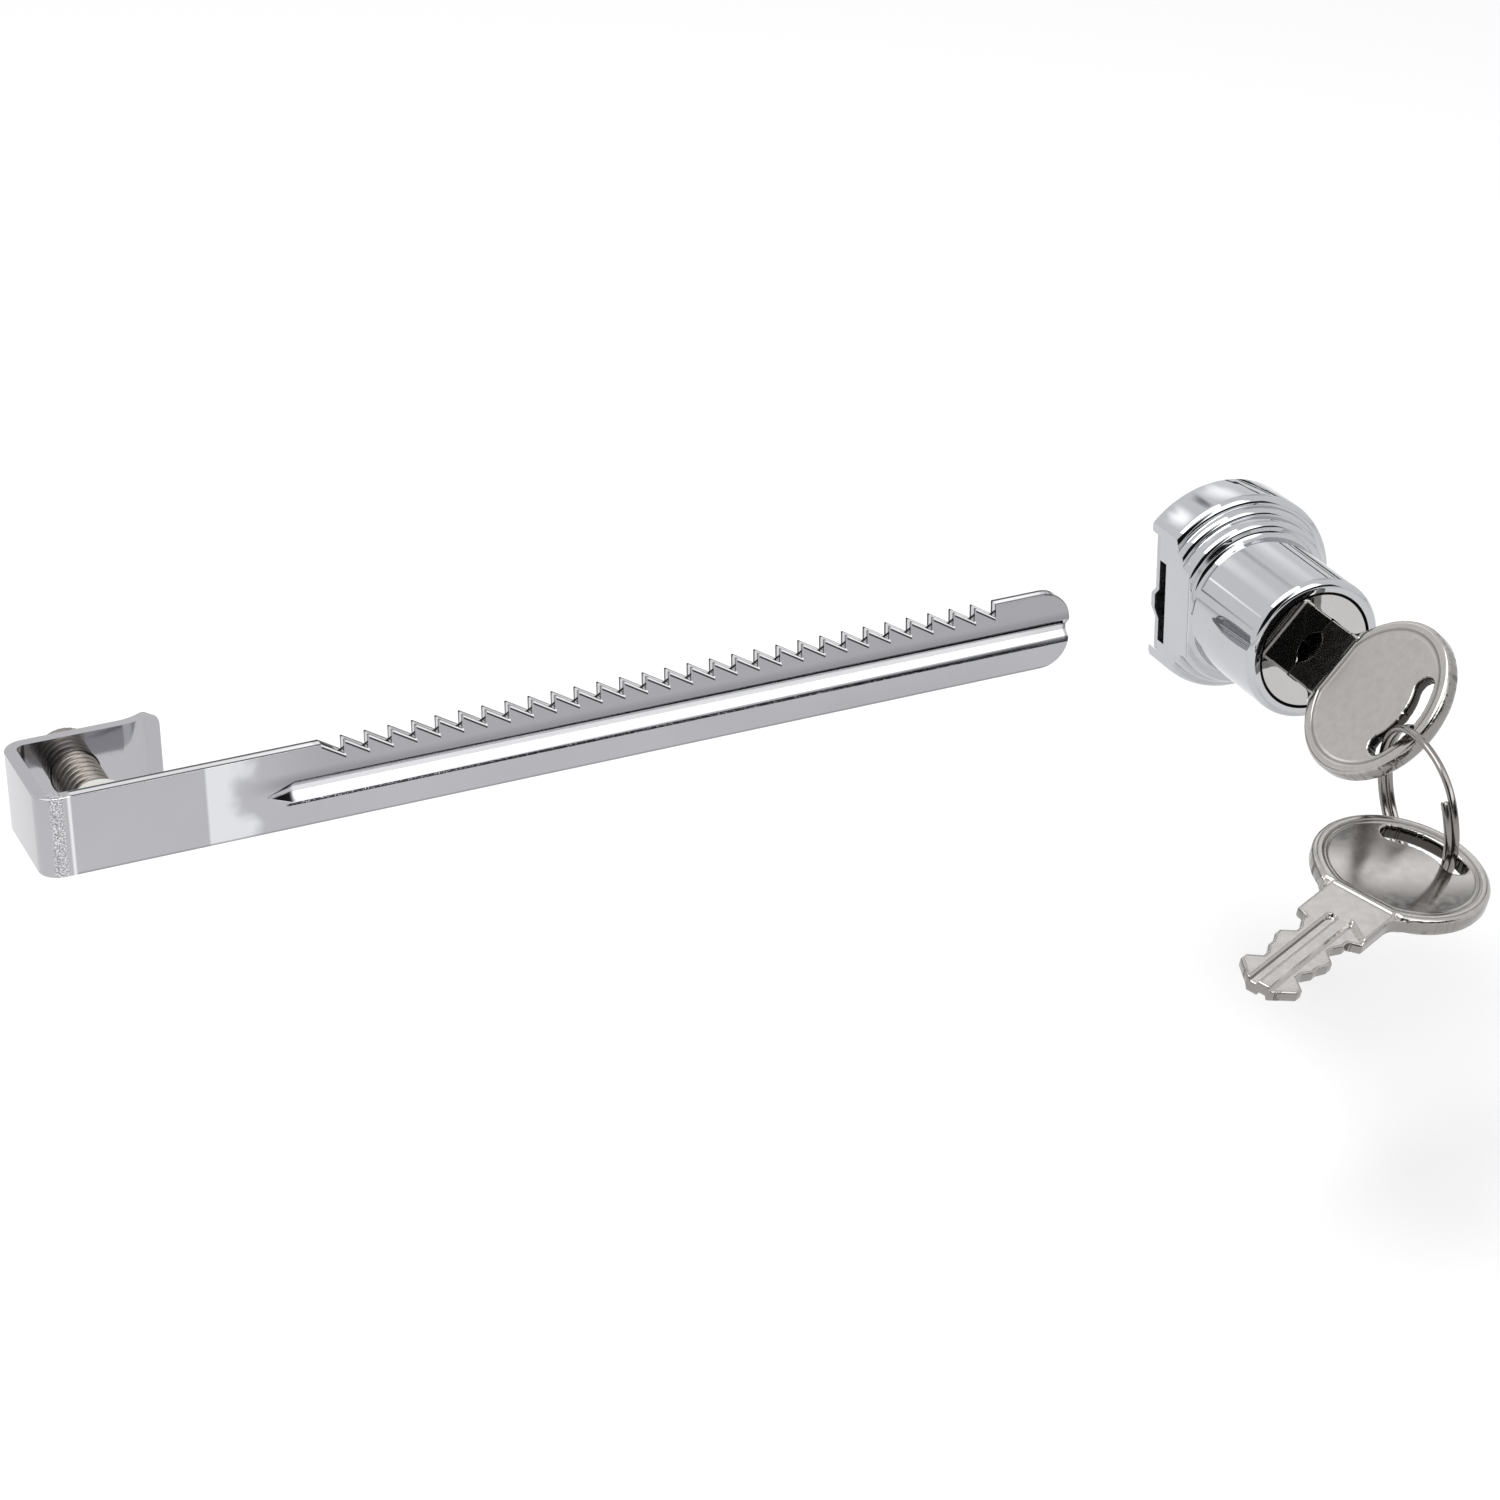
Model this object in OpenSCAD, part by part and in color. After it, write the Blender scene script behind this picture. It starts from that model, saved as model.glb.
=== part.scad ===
// Ratchet lock for sliding glass doors: a saw-tooth bar hooked over one pane,
// a keyed lock that slides along the bar against the other pane, and two keys on a ring.
// Millimetres, +Z up. The bar runs along X, the lock faces -Y, and the bar's glass seat is the plane Y = 0
// with the origin on the clamp screw's axis.

/* [Ratchet bar] */
// Width of the steel strip
bar_width = 11; // [9:0.1:14]
// Thickness of the steel strip
bar_thickness = 1.6; // [1.2:0.1:2.2]
// Distance from the clamp screw's axis to the free end
bar_reach = 133.9; // [100:0.1:180]
// Corner radius of the free end
bar_end_corner = 4.2; // [2:0.1:5]
// Distance from one tooth to the next
tooth_pitch = 3.175; // [2.5:0.005:4]
// Number of teeth
tooth_count = 30; // [10:1:36]
// Depth of the notch between two teeth
tooth_depth = 1.9; // [1:0.1:2.4]
// Flat left on each tooth's tip
tooth_land = 0.2; // [0.1:0.05:0.6]
// Distance from the screw's axis to the first tooth's tip
first_tooth = 27.45; // [22:0.05:40]
// Width of the pressed groove, seen from the front
groove_width = 3.1; // [2:0.1:4]
// Depth of the groove and height of the rib behind it
groove_depth = 1.1; // [0.5:0.05:1.4]
// How far the groove's middle sits below the bar's middle
groove_drop = 0.4; // [0:0.1:1]
// Distance from the screw's axis to the groove's pointed start
groove_start = 20.2; // [18:0.1:26]
// Length of the groove's pointed start
groove_nose = 3.6; // [2:0.1:6]

/* [Hook] */
// Clear gap between the bar and the hook's back leg
hook_gap = 14.4; // [10:0.1:18]
// Distance from the hook's outer face to the screw's axis
hook_setback = 9.05; // [7.5:0.05:14]
// Inner radius of the two bends
hook_bend = 1.2; // [0.8:0.1:2.5]
// Straight length of the back leg past the screw's axis
leg_straight = 6.5; // [5:0.1:12]
// Outer radius of the flared lip's bend
flare_radius = 5; // [3:0.1:8]
// Angle of the flared lip
flare_angle = 32; // [10:1:45]
// Length of the lip past its bend
lip_length = 2.4; // [2.3:0.1:5]
// Corner radius of the lip
lip_corner = 2.2; // [1:0.1:2.3]

/* [Clamp screw] */
// Thread diameter of the clamp screw
thread_diameter = 6.3; // [4:0.1:7]
// Radial clearance of the thread in the back leg
thread_clearance = 0.05; // [0.02:0.01:0.1]
// Diameter of the round head
head_diameter = 8.2; // [7.5:0.1:10]
// Height of the round head
head_height = 3.5; // [2:0.1:5]
// Gap between the head and the back leg as shown
head_gap = 0.6; // [0.55:0.05:3]
// Diameter of the pressure pad
pad_diameter = 8.6; // [7:0.1:10]
// Thickness of the pressure pad
pad_thickness = 1.8; // [1.5:0.1:3]
// Gap between the pad and the bar as shown
pad_gap = 2.1; // [2.05:0.05:6]
// Diameter of the screw's swivel spigot in the pad
spigot_diameter = 3; // [2:0.1:4]
// Depth of the spigot in the pad
spigot_depth = 1; // [0.6:0.1:1.2]
// Radial clearance of the spigot in the pad
spigot_clearance = 0.05; // [0.02:0.01:0.1]

/* [Lock housing] */
// Gap between the bar's free end and the lock's flat as shown
lock_gap = 14.6; // [5:0.1:40]
// Height of the plug's axis above the bar's middle
lock_rise = 1.2; // [0.5:0.1:1.6]
// Diameter of the round flange
flange_diameter = 28.4; // [27:0.1:32]
// Distance from the plug's axis to the flat that meets the pane's edge
flange_flat = 10.1; // [10.05:0.05:11]
// Diameter of the front barrel
barrel_diameter = 20; // [19:0.1:20]
// Distance from the glass seat's plane to the front rim
lock_front = 24.3; // [24:0.1:28]
// How far the skirt reaches behind the glass seat's plane
skirt_depth = 2.3; // [2.2:0.1:3]
// Wall of the skirt
skirt_wall = 1; // [0.8:0.1:1.4]
// Clearance of the bar in its channel, front and back
channel_side = 0.1; // [0.05:0.01:0.2]
// Clearance of the bar in its channel, below
channel_below = 0.25; // [0.1:0.05:0.5]
// Clearance of the bar in its channel, above
channel_above = 0.75; // [0.5:0.05:1]
// Wall between the channel and the plug's bore
bore_floor = 1.2; // [0.8:0.1:1.3]
// Thickness of the rear plate
plate_thickness = 0.9; // [0.6:0.1:1]
// Radial clearance of the rear plate in the skirt
plate_clearance = 0.1; // [0.05:0.01:0.2]
// Shank diameter of the rivets that hold the rear plate
rivet_diameter = 1.8; // [1.4:0.1:2.2]
// Length of a rivet's shank in the housing
rivet_depth = 3; // [2:0.1:4]
// Radial clearance of the rivets in the plate
rivet_clearance = 0.05; // [0.02:0.01:0.1]

/* [Plug and wafers] */
// Diameter of the plug's body
plug_diameter = 14; // [13.8:0.1:14.4]
// Diameter of the plug's face
face_diameter = 16.4; // [15.8:0.1:16.8]
// Thickness of the plug's face
face_thickness = 1.6; // [1.2:0.1:2]
// How far the plug's face sits behind the rim
face_recess = 0.1; // [0:0.05:0.4]
// Radial clearance of the plug in the housing
plug_clearance = 0.05; // [0.02:0.01:0.1]
// Angle of the keyway from level, as shown
keyway_angle = 46; // [30:1:60]
// Thickness of one wafer
wafer_thickness = 1; // [0.8:0.1:1.2]
// Width of one wafer
wafer_width = 6; // [5:0.1:6.5]
// Distance from one wafer to the next
wafer_pitch = 2.6; // [2.4:0.1:2.7]
// Clearance of a wafer in its slot
wafer_clearance = 0.05; // [0.02:0.01:0.1]
// Mean diameter of a wafer's spring
spring_diameter = 0.9; // [0.7:0.05:1]
// Diameter of a wafer spring's wire
spring_wire = 0.2; // [0.15:0.01:0.25]
// Turns in a wafer's spring
spring_turns = 6; // [4:1:6]
// Diameter of the retaining pin
pin_diameter = 1.6; // [1.2:0.1:1.8]
// Depth that the retaining pin reaches into the plug's groove
pin_reach = 1; // [0.6:0.1:1.2]
// Radial clearance of a driven pin or rivet in its hole
drive_clearance = 0.02; // [0.01:0.01:0.05]

/* [Cam and pawl] */
// Thickness of the drive cam
cam_thickness = 1.4; // [1:0.1:1.5]
// Travel of the pawl from raised to locked
pawl_travel = 2.2; // [2:0.05:2.3]
// Turn of the plug from released to locked
plug_turn = 44; // [30:1:60]
// Radius of the cam slot where the pawl is raised
cam_radius = 5.95; // [5.9:0.05:6]
// Diameter of the pawl's follower pin
follower_diameter = 1.2; // [0.9:0.1:1.3]
// Clearance of the follower pin in the cam slot
follower_clearance = 0.06; // [0.04:0.01:0.1]
// Width of the pawl
pawl_width = 6; // [5:0.1:7]
// Clearance of the pawl in its guide
pawl_clearance = 0.05; // [0.03:0.01:0.1]
// Height of the pawl above its follower pin
pawl_above = 5; // [3:0.1:5.2]
// Gap left under the pawl's teeth when it is down
pawl_slack = 0.15; // [0.15:0.01:0.25]

/* [Keys] */
// Diameter of the round bow
bow_diameter = 22.9; // [20:0.1:24]
// Distance from the bow's middle to its straight edge
bow_chord = 10; // [8:0.1:10.5]
// Thickness of the bow
bow_thickness = 2.4; // [2:0.1:2.6]
// Width of the bow's raised rim
rim_width = 1.4; // [1:0.1:2]
// Depth of the field inside the rim
rim_depth = 0.25; // [0.1:0.05:0.4]
// Width of the neck and keyway
neck_width = 9.4; // [8.5:0.1:9.6]
// Thickness of the blade
blade_thickness = 2; // [1.6:0.1:2.2]
// Gap left between the blade's tip and the cam
tip_gap = 0.4; // [0.2:0.05:1]
// Neck left in sight between the plug and the bow
neck_visible = 6.4; // [5:0.1:8]
// Clearance of the blade in the keyway
key_clearance = 0.06; // [0.03:0.01:0.1]
// Half width of the blade at each wafer, from the neck to the tip
bitting = [3.1, 2.4, 3.85, 3.25, 2.5, 4.1]; // [2.2:0.05:4.2]
// Half width of the blade's tip
tip_half_width = 1.6; // [1:0.1:1.8]
// Width of the ring slot in the bow
slot_width = 3.1; // [2.6:0.1:3.6]
// Bend radius of the ring slot
slot_radius = 8.5; // [7:0.1:9.5]
// Distance from the bow's middle to the slot's middle
slot_offset = 7.35; // [7:0.05:7.6]
// Half angle of the ring slot
slot_half_angle = 32.8; // [25:0.1:36]

/* [Split ring] */
// Mean radius of the ring
ring_radius = 9.95; // [9.6:0.05:10.3]
// Diameter of the ring's wire
ring_wire = 0.8; // [0.6:0.05:0.85]
// Distance between the ring's two layers
ring_layer = 1.24; // [1.22:0.01:1.3]
// Angle over which the wire crosses from layer to layer, between its two ends
ring_crossing = 80; // [60:1:90]

/* [Hidden] */
$fn = 64;

half_bar = bar_width / 2;
bend_outer = hook_bend + bar_thickness;
bend_x = bend_outer - hook_setback;
leg_back = hook_gap + bar_thickness;
pad_back = pad_gap + pad_thickness;
head_front = leg_back + head_gap;
// Hairline step where the flat lip runs into its bend
seam = 0.02;
groove_half = groove_width / 2;
rib_half = groove_half + 0.35;
rib_crest = rib_half - groove_depth;

lock_x = bar_reach + lock_gap + flange_flat;
flange_r = flange_diameter / 2;
skirt_r = flange_r - skirt_wall;
barrel_r = barrel_diameter / 2;
plug_r = plug_diameter / 2;
face_r = face_diameter / 2;
bore_r = plug_r + plug_clearance;
channel_front = bar_thickness + channel_side;
channel_low = -half_bar - channel_below - lock_rise;
channel_high = half_bar + channel_above - lock_rise;
bulge_z = -groove_drop - lock_rise;
rivet_r = rivet_diameter / 2;
rivet_head_r = rivet_r + 0.5;
rivet_z = [channel_high + 3.2, channel_low - 2.4];
rivet_edge = rivet_head_r + 0.4;
rivet_circle = skirt_r - plate_clearance - rivet_edge;
rivet_x = [for (z = rivet_z) min(sqrt(rivet_circle * rivet_circle - z * z), flange_flat - 0.1 - rivet_edge)];
plate_back = channel_side + plate_thickness;
cam_back = channel_front + bore_floor + 0.1;
cam_front = cam_back + cam_thickness;
plug_back = cam_front;
plug_face = lock_front - face_recess;
face_back = plug_face - face_thickness;
wafer_count = 6;
wafer_first = face_back - 1.6;
lug_x = 1.6;
spring_z = wafer_width / 2 + 0.7;
spring_r = spring_diameter / 2;
pocket_r = spring_r + spring_wire / 2 + 0.2;
pin_depth = plug_back + 1.55;

follower_r = follower_diameter / 2;
cam_rate = pawl_travel / plug_turn;
pawl_tip = half_bar + pawl_travel - tooth_depth + pawl_slack - lock_rise;
pawl_top = cam_radius + pawl_above;
pawl_edge = 0.7;
pawl_slope = tooth_depth / (tooth_pitch - tooth_land);

bow_y = -(plug_face + neck_visible + bow_chord);
tip_y = -bow_y - cam_front - tip_gap;
bow_r = bow_diameter / 2;
ward_from = 0.1;
ward_to = 1.4;
ward_depth = 0.5;
bit_first = -bow_y - wafer_first;
bit_last = bit_first + (wafer_count - 1) * wafer_pitch;
// Where the ring passes through each key's slot, as an angle along the slot from its middle
key_slot_angle = -25.1;
spare_slot_angle = -23.7;
// How the ring leans in the inserted key's slot, and where along it the wire starts
ring_turn = [134.5, -14.5, 66.1];
ring_start = 122.6;
// How far round the ring the spare key hangs, and how it lies there
spare_along = 177.8;
spare_turn = [-76.3, 35.3, 172.1];

// A block between two corners
module block(low, high) {
    translate(low)
    cube(high - low);
}

// A round rod along Y between two stations
module rod(r, from_y, to_y) {
    translate([0, from_y, 0])
    rotate([-90, 0, 0])
    cylinder(r = r, h = to_y - from_y);
}

// An outline in X and Z carried along Y
module along_y(from_y, to_y) {
    translate([0, to_y, 0])
    rotate([90, 0, 0])
    linear_extrude(height = to_y - from_y)
    children();
}

// An outline in Y and Z carried along X
module along_x(from_x, to_x) {
    translate([from_x, 0, 0])
    rotate([90, 0, 90])
    linear_extrude(height = to_x - from_x)
    children();
}

// A turned body about Y, its outline given as radius and distance toward the front
module turned(outline) {
    rotate([90, 0, 0])
    rotate_extrude()
    polygon(outline);
}

// Points of a round stretch
function arc(centre, r, from_angle, to_angle, steps = 6) = [
    for (i = [0 : steps])
        let (a = from_angle + (to_angle - from_angle) * i / steps)
        centre + r * [cos(a), sin(a)]
];

// A flat strip with two rounded corners at its end, lying in X and Z from the plane Y = 0 toward +Y
module rounded_strip(from_x, to_x, thickness, corner) {
    difference() {
        block([from_x, 0, -half_bar], [to_x, thickness, half_bar]);
        for (side = [0, 180])
            rotate([side, 0, 0])
            translate([to_x - corner, 0, half_bar - corner])
            difference() {
                block([0, -thickness - 1, 0], [corner + 1, thickness + 1, corner + 1]);
                rod(corner, -thickness - 2, thickness + 2);
            }
    }
}

// Part of a strip bent about Z
module bent_strip(centre, inner, from_angle, sweep) {
    translate(centre)
    rotate([0, 0, from_angle])
    rotate_extrude(angle = sweep)
    translate([inner, -half_bar])
    square([bar_thickness, bar_width]);
}

// Section of the rib behind the bar, shrunk toward its middle for the pointed start
module rib_section(scale_by = 1) {
    h = groove_depth * scale_by;
    b = rib_half * scale_by;
    c = rib_crest * scale_by;
    translate([0, -groove_drop])
    polygon([[-0.4, -b], [0, -b], [h, -c], [h, c], [0, b], [-0.4, b]]);
}

// Section of the groove in the bar's front
module groove_section(scale_by = 1) {
    d = groove_depth * scale_by;
    b = groove_half * scale_by;
    c = 0.35 * scale_by;
    translate([-bar_thickness, -groove_drop])
    polygon([[-0.4, -b], [0, -b], [d, -c], [d, c], [0, b], [-0.4, b]]);
}

module tooth_notches() {
    for (i = [0 : tooth_count - 1])
        translate([first_tooth + i * tooth_pitch, 0, half_bar])
        along_y(-bar_thickness - 1, 1)
        polygon([[tooth_land, 0], [tooth_pitch, -tooth_depth], [tooth_pitch, 1], [tooth_land, 1]]);
}

module hook() {
    bent_strip([bend_x, bend_outer - bar_thickness, 0], hook_bend, 180, 90);
    block([-hook_setback, bend_outer - bar_thickness, -half_bar],
          [bar_thickness - hook_setback, leg_back - bend_outer, half_bar]);
    bent_strip([bend_x, leg_back - bend_outer, 0], hook_bend, 90, 90);
    block([bend_x, hook_gap, -half_bar], [leg_straight, leg_back, half_bar]);
    translate([leg_straight, leg_back + flare_radius, 0]) {
        bent_strip([0, 0, 0], flare_radius, 270, flare_angle);
        rotate([0, 0, flare_angle])
        translate([0, seam - flare_radius - bar_thickness, 0])
        rounded_strip(-0.3, lip_length, bar_thickness - 2 * seam, lip_corner);
    }
}

module ratchet_bar() {
    nose_end = groove_start + groove_nose;
    color("silver")
    difference() {
        union() {
            translate([0, -bar_thickness, 0])
            rounded_strip(bend_x, bar_reach, bar_thickness, bar_end_corner);
            hook();
            along_x(nose_end, bar_reach - 0.1)
            rib_section();
            hull() {
                along_x(nose_end, nose_end + 0.02)
                rib_section();
                along_x(groove_start, groove_start + 0.02)
                rib_section(0.08);
            }
        }
        along_x(nose_end, bar_reach + 1)
        groove_section();
        hull() {
            along_x(nose_end, nose_end + 0.02)
            groove_section();
            along_x(groove_start, groove_start + 0.02)
            groove_section(0.08);
        }
        tooth_notches();
        rod(thread_diameter / 2 + thread_clearance, hook_gap - 1, leg_back + 1);
    }
}

module clamp_screw() {
    color("dimgray") {
        rod(spigot_diameter / 2, pad_back - spigot_depth, pad_back);
        rod(thread_diameter / 2, pad_back, head_front);
        rod(head_diameter / 2, head_front, head_front + head_height);
    }
}

module pressure_pad() {
    color("gainsboro")
    difference() {
        rod(pad_diameter / 2, pad_gap, pad_back);
        rod(spigot_diameter / 2 + spigot_clearance, pad_back - spigot_depth - 0.05, pad_back + 1);
    }
}

module at_lock() {
    translate([lock_x, 0, lock_rise])
    children();
}

// Turned outline of the housing: skirt, two stepped rings, barrel and front rim
function housing_outline() = concat(
    [[0, -skirt_depth], [flange_r - 0.3, -skirt_depth], [flange_r, 0.3 - skirt_depth]],
    arc([flange_r - 1.2, 3.6], 1.2, 0, 90),
    arc([flange_r - 2.2, 5.3], 0.9, 0, 90),
    arc([flange_r - 3.2, 7.5], 0.9, 0, 90),
    arc([barrel_r + 1, 9.4], 1, 270, 180),
    arc([barrel_r - 1.1, lock_front - 1.1], 1.1, 0, 90),
    [[0, lock_front]]
);

// The bar's channel, the pawl's guide above it and the rear plate's seat
module channel_spaces() {
    top = pawl_top + 0.3;
    block([-20, -channel_front, channel_low], [20, channel_side, channel_high]);
    block([-pawl_width / 2 - pawl_clearance, -channel_front, channel_high - 1],
          [pawl_width / 2 + pawl_clearance, channel_side, top]);
    block([-follower_r - follower_clearance, -cam_back, cam_radius - pawl_travel - follower_r - 0.15],
          [follower_r + follower_clearance, 0, cam_radius + follower_r + 0.15]);
    rod(skirt_r, channel_side, skirt_depth + 1);
    block([5, channel_side - 0.05, bulge_z - rib_half - 1.4],
          [20, skirt_depth + 1, bulge_z + rib_half + 1.4]);
}

// The plug's bore, the face's counterbore and the two grooves that catch the wafers when the lock is shut
module plug_spaces() {
    rod(bore_r, -lock_front - 1, -cam_back + 0.1);
    rod(face_r + plug_clearance, -lock_front - 1, -face_back);
    rotate([0, -keyway_angle - plug_turn, 0])
    block([-plug_r - 1.2, -wafer_first - 1, -wafer_width / 2 - 0.2],
          [plug_r + 1.2, -wafer_first + (wafer_count - 1) * wafer_pitch + 1, wafer_width / 2 + 0.2]);
    translate([0, -pin_depth, 0])
    rotate([180, 0, 0])
    cylinder(r = pin_diameter / 2 + drive_clearance, h = flange_diameter);
}

// Repeats a piece at the four rivets
module at_rivets() {
    for (side = [-1, 1], row = [0, 1])
        translate([side * rivet_x[row], 0, rivet_z[row]])
        children();
}

module lock_housing() {
    color("lightgray")
    at_lock()
    difference() {
        turned(housing_outline());
        block([-20, -40, -20], [-flange_flat, 10, 20]);
        channel_spaces();
        plug_spaces();
        at_rivets()
        rod(rivet_r + drive_clearance, -rivet_depth - 0.1, 1);
    }
}

// The rear plate's channel for the rib, seen along X
module bulge_section(grow) {
    base = rib_half + 0.3 + grow;
    tall = groove_depth + 0.15 + grow;
    crest = max(base - tall, 0.4);
    translate([0, bulge_z])
    polygon([
        [-0.5, -base], [channel_side, -base], [tall, -crest],
        [tall, crest], [channel_side, base], [-0.5, base]
    ]);
}

module rear_plate() {
    color("silver")
    at_lock()
    difference() {
        union() {
            rod(skirt_r - plate_clearance, channel_side, plate_back);
            intersection() {
                along_x(-20, 20)
                bulge_section(plate_thickness);
                rod(skirt_r - plate_clearance, channel_side, skirt_depth);
            }
        }
        block([-20, -1, -20], [0.1 - flange_flat, 10, 20]);
        along_x(-20, 20)
        bulge_section(0);
        at_rivets()
        rod(rivet_r + rivet_clearance, -1, plate_back + 1);
    }
}

module plate_rivets() {
    color("gainsboro")
    at_lock()
    at_rivets() {
        rod(rivet_r, -rivet_depth, plate_back);
        rod(rivet_head_r, plate_back, plate_back + 0.5);
    }
}

// Turns a piece that is drawn with the keyway level to the angle shown
module at_keyway() {
    at_lock()
    rotate([0, -keyway_angle, 0])
    children();
}

// The keyway, with a ward on each side that runs in the key's groove
module keyway() {
    half = blade_thickness / 2 + key_clearance;
    difference() {
        block([-neck_width / 2 - key_clearance, -plug_face - 1, -half],
              [neck_width / 2 + key_clearance, -plug_back + 1, half]);
        for (turn = [0, 180])
            rotate([0, turn, 0])
            block([ward_from + key_clearance, -plug_face - 2, half - ward_depth],
                  [ward_to - key_clearance, -plug_back + 2, half + 1]);
    }
}

// The slot, the lug's space and the spring's pocket of one wafer
module wafer_space() {
    side = wafer_width / 2 + wafer_clearance;
    flat = wafer_thickness / 2 + wafer_clearance;
    block([-plug_r - 1, -flat, -side], [plug_r + 1, flat, side]);
    block([lug_x - 0.1, -flat, 0], [lug_x + 1.1, flat, spring_z + 0.7]);
    translate([-2.4, 0, spring_z])
    rotate([0, 90, 0])
    cylinder(r = pocket_r, h = lug_x + 2.4);
}

// Repeats a piece at every wafer's station
module at_wafers() {
    for (i = [0 : wafer_count - 1])
        translate([0, i * wafer_pitch - wafer_first, 0])
        children();
}

module plug() {
    color("whitesmoke")
    at_keyway()
    difference() {
        union() {
            rod(plug_r, -face_back - 0.1, -plug_back);
            rod(face_r, -plug_face, -face_back);
        }
        keyway();
        rod(2.6, -plug_face - 1, -plug_face + 0.7);
        at_wafers()
        wafer_space();
        difference() {
            rod(plug_r + 1, -pin_depth - pin_diameter / 2 - 0.1, -pin_depth + pin_diameter / 2 + 0.1);
            rod(plug_r - pin_reach - 0.15, -pin_depth - 3, -pin_depth + 3);
        }
        for (side = [-1, 1])
            drive_tang(side, 0.05);
    }
}

// One of the cam's two tangs, which sit in the back of the plug either side of the keyway
module drive_tang(side, grow) {
    translate([0, 0, side * 3.2])
    block([-1.1 - grow, -plug_back - 0.8 - grow, -0.9 - grow],
          [1.1 + grow, -cam_front + 0.2, 0.9 + grow]);
}

module retaining_pin() {
    color("dimgray")
    at_lock()
    translate([0, -pin_depth, 0])
    rotate([180, 0, 0])
    translate([0, 0, plug_r - pin_reach])
    cylinder(r = pin_diameter / 2, h = 3.5 + pin_reach);
}

// A flat wafer with a window for the blade, deeper on the side where its cut is, and a lug for its spring
module wafer(i) {
    flat = wafer_thickness / 2;
    window = neck_width / 2 + key_clearance + 0.1;
    cut = (4.2 - bitting[i]) / 4;
    color("goldenrod")
    at_keyway()
    translate([0, i * wafer_pitch - wafer_first, 0])
    difference() {
        union() {
            intersection() {
                rod(plug_r - 0.05, -flat, flat);
                block([-plug_r, -flat, -wafer_width / 2], [plug_r, flat, wafer_width / 2]);
            }
            block([lug_x, -flat, 2], [lug_x + 1, flat, spring_z + 0.6]);
        }
        block([-window - cut, -wafer_thickness, -blade_thickness / 2 - 0.3],
              [window, wafer_thickness, blade_thickness / 2 + 0.3]);
    }
}

module wafer_1() { wafer(0); }
module wafer_2() { wafer(1); }
module wafer_3() { wafer(2); }
module wafer_4() { wafer(3); }
module wafer_5() { wafer(4); }
module wafer_6() { wafer(5); }

// A closed tube of six sides along a row of points, with each station's outward and sideways directions
module wire_tube(middles, outward, sideways, wire) {
    sides = 6;
    last = len(middles) - 1;
    wall = [
        for (i = [0 : last], j = [0 : sides - 1])
            let (t = 360 * j / sides)
            middles[i] + wire / 2 * (cos(t) * outward[i] + sin(t) * sideways[i])
    ];
    skin = [
        for (i = [0 : last - 1], j = [0 : sides - 1])
            let (k = (j + 1) % sides, low = i * sides, high = low + sides)
            [low + j, high + j, high + k, low + k]
    ];
    ends = [[for (j = [0 : sides - 1]) j], [for (j = [sides - 1 : -1 : 0]) last * sides + j]];
    polyhedron(points = wall, faces = concat(skin, ends));
}

// One wafer's spring, a coil along X between the pocket's end and the wafer's lug
module wafer_spring() {
    span = lug_x + 2.3 - spring_wire;
    steps = 8 * spring_turns;
    angles = [for (i = [0 : steps]) 360 * spring_turns * i / steps];
    echo(spring_self_gap = span / spring_turns - spring_wire);
    translate([-2.3 + spring_wire / 2, 0, spring_z])
    wire_tube(
        [for (a = angles) [span * a / (360 * spring_turns), spring_r * cos(a), spring_r * sin(a)]],
        [for (a = angles) [0, cos(a), sin(a)]],
        [for (a = angles) [1, 0, 0]],
        spring_wire
    );
}

module wafer_springs() {
    color("silver")
    at_keyway()
    at_wafers()
    wafer_spring();
}

// Middle of the cam's slot: its radius falls evenly with the plug's turn, so the pawl's lift keeps one ratio
function cam_r(a) = cam_radius - cam_rate * a;
function cam_point(a) = cam_r(a) * [sin(a), cos(a)];
function cam_normal(a) =
    let (t = cam_r(a) * PI / 180 * [cos(a), -sin(a)] - cam_rate * [sin(a), cos(a)])
    [-t[1], t[0]] / norm(t);

module cam_slot() {
    steps = 16;
    over = 1.5;
    half = follower_r + follower_clearance;
    turns = [for (i = [0 : steps]) (plug_turn + 2 * over) * i / steps - over];
    along_y(-cam_front - 1, -cam_back + 1)
    polygon(concat(
        [for (a = turns) cam_point(a) + half * cam_normal(a)],
        [for (i = [steps : -1 : 0]) cam_point(turns[i]) - half * cam_normal(turns[i])]
    ));
    for (a = [-over, plug_turn + over])
        translate([cam_point(a)[0], 0, cam_point(a)[1]])
        rod(half, -cam_front - 1, -cam_back + 1);
}

module drive_cam() {
    color("dimgray")
    at_lock()
    difference() {
        union() {
            rod(plug_r - 0.05, -cam_front, -cam_back);
            rotate([0, -keyway_angle, 0])
            for (side = [-1, 1])
                drive_tang(side, 0);
        }
        cam_slot();
    }
}

// Saw-edged plate that drops between the bar's teeth, with the follower pin on its front
module locking_pawl() {
    half = pawl_width / 2;
    tall = pawl_tip + tooth_depth;
    color("dimgray")
    at_lock() {
        along_y(-bar_thickness, 0)
        polygon([
            [half, pawl_top], [-half, pawl_top],
            [-half, pawl_tip + pawl_slope * (half + pawl_edge - tooth_pitch)],
            [pawl_edge - tooth_pitch, pawl_tip], [pawl_edge - tooth_pitch, tall],
            [pawl_edge - tooth_pitch + tooth_land, tall], [pawl_edge, pawl_tip],
            [pawl_edge, tall], [half, tall]
        ]);
        translate([0, 0, cam_radius])
        rod(follower_r, -cam_front + 0.1, -bar_thickness + 0.3);
    }
}

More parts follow.
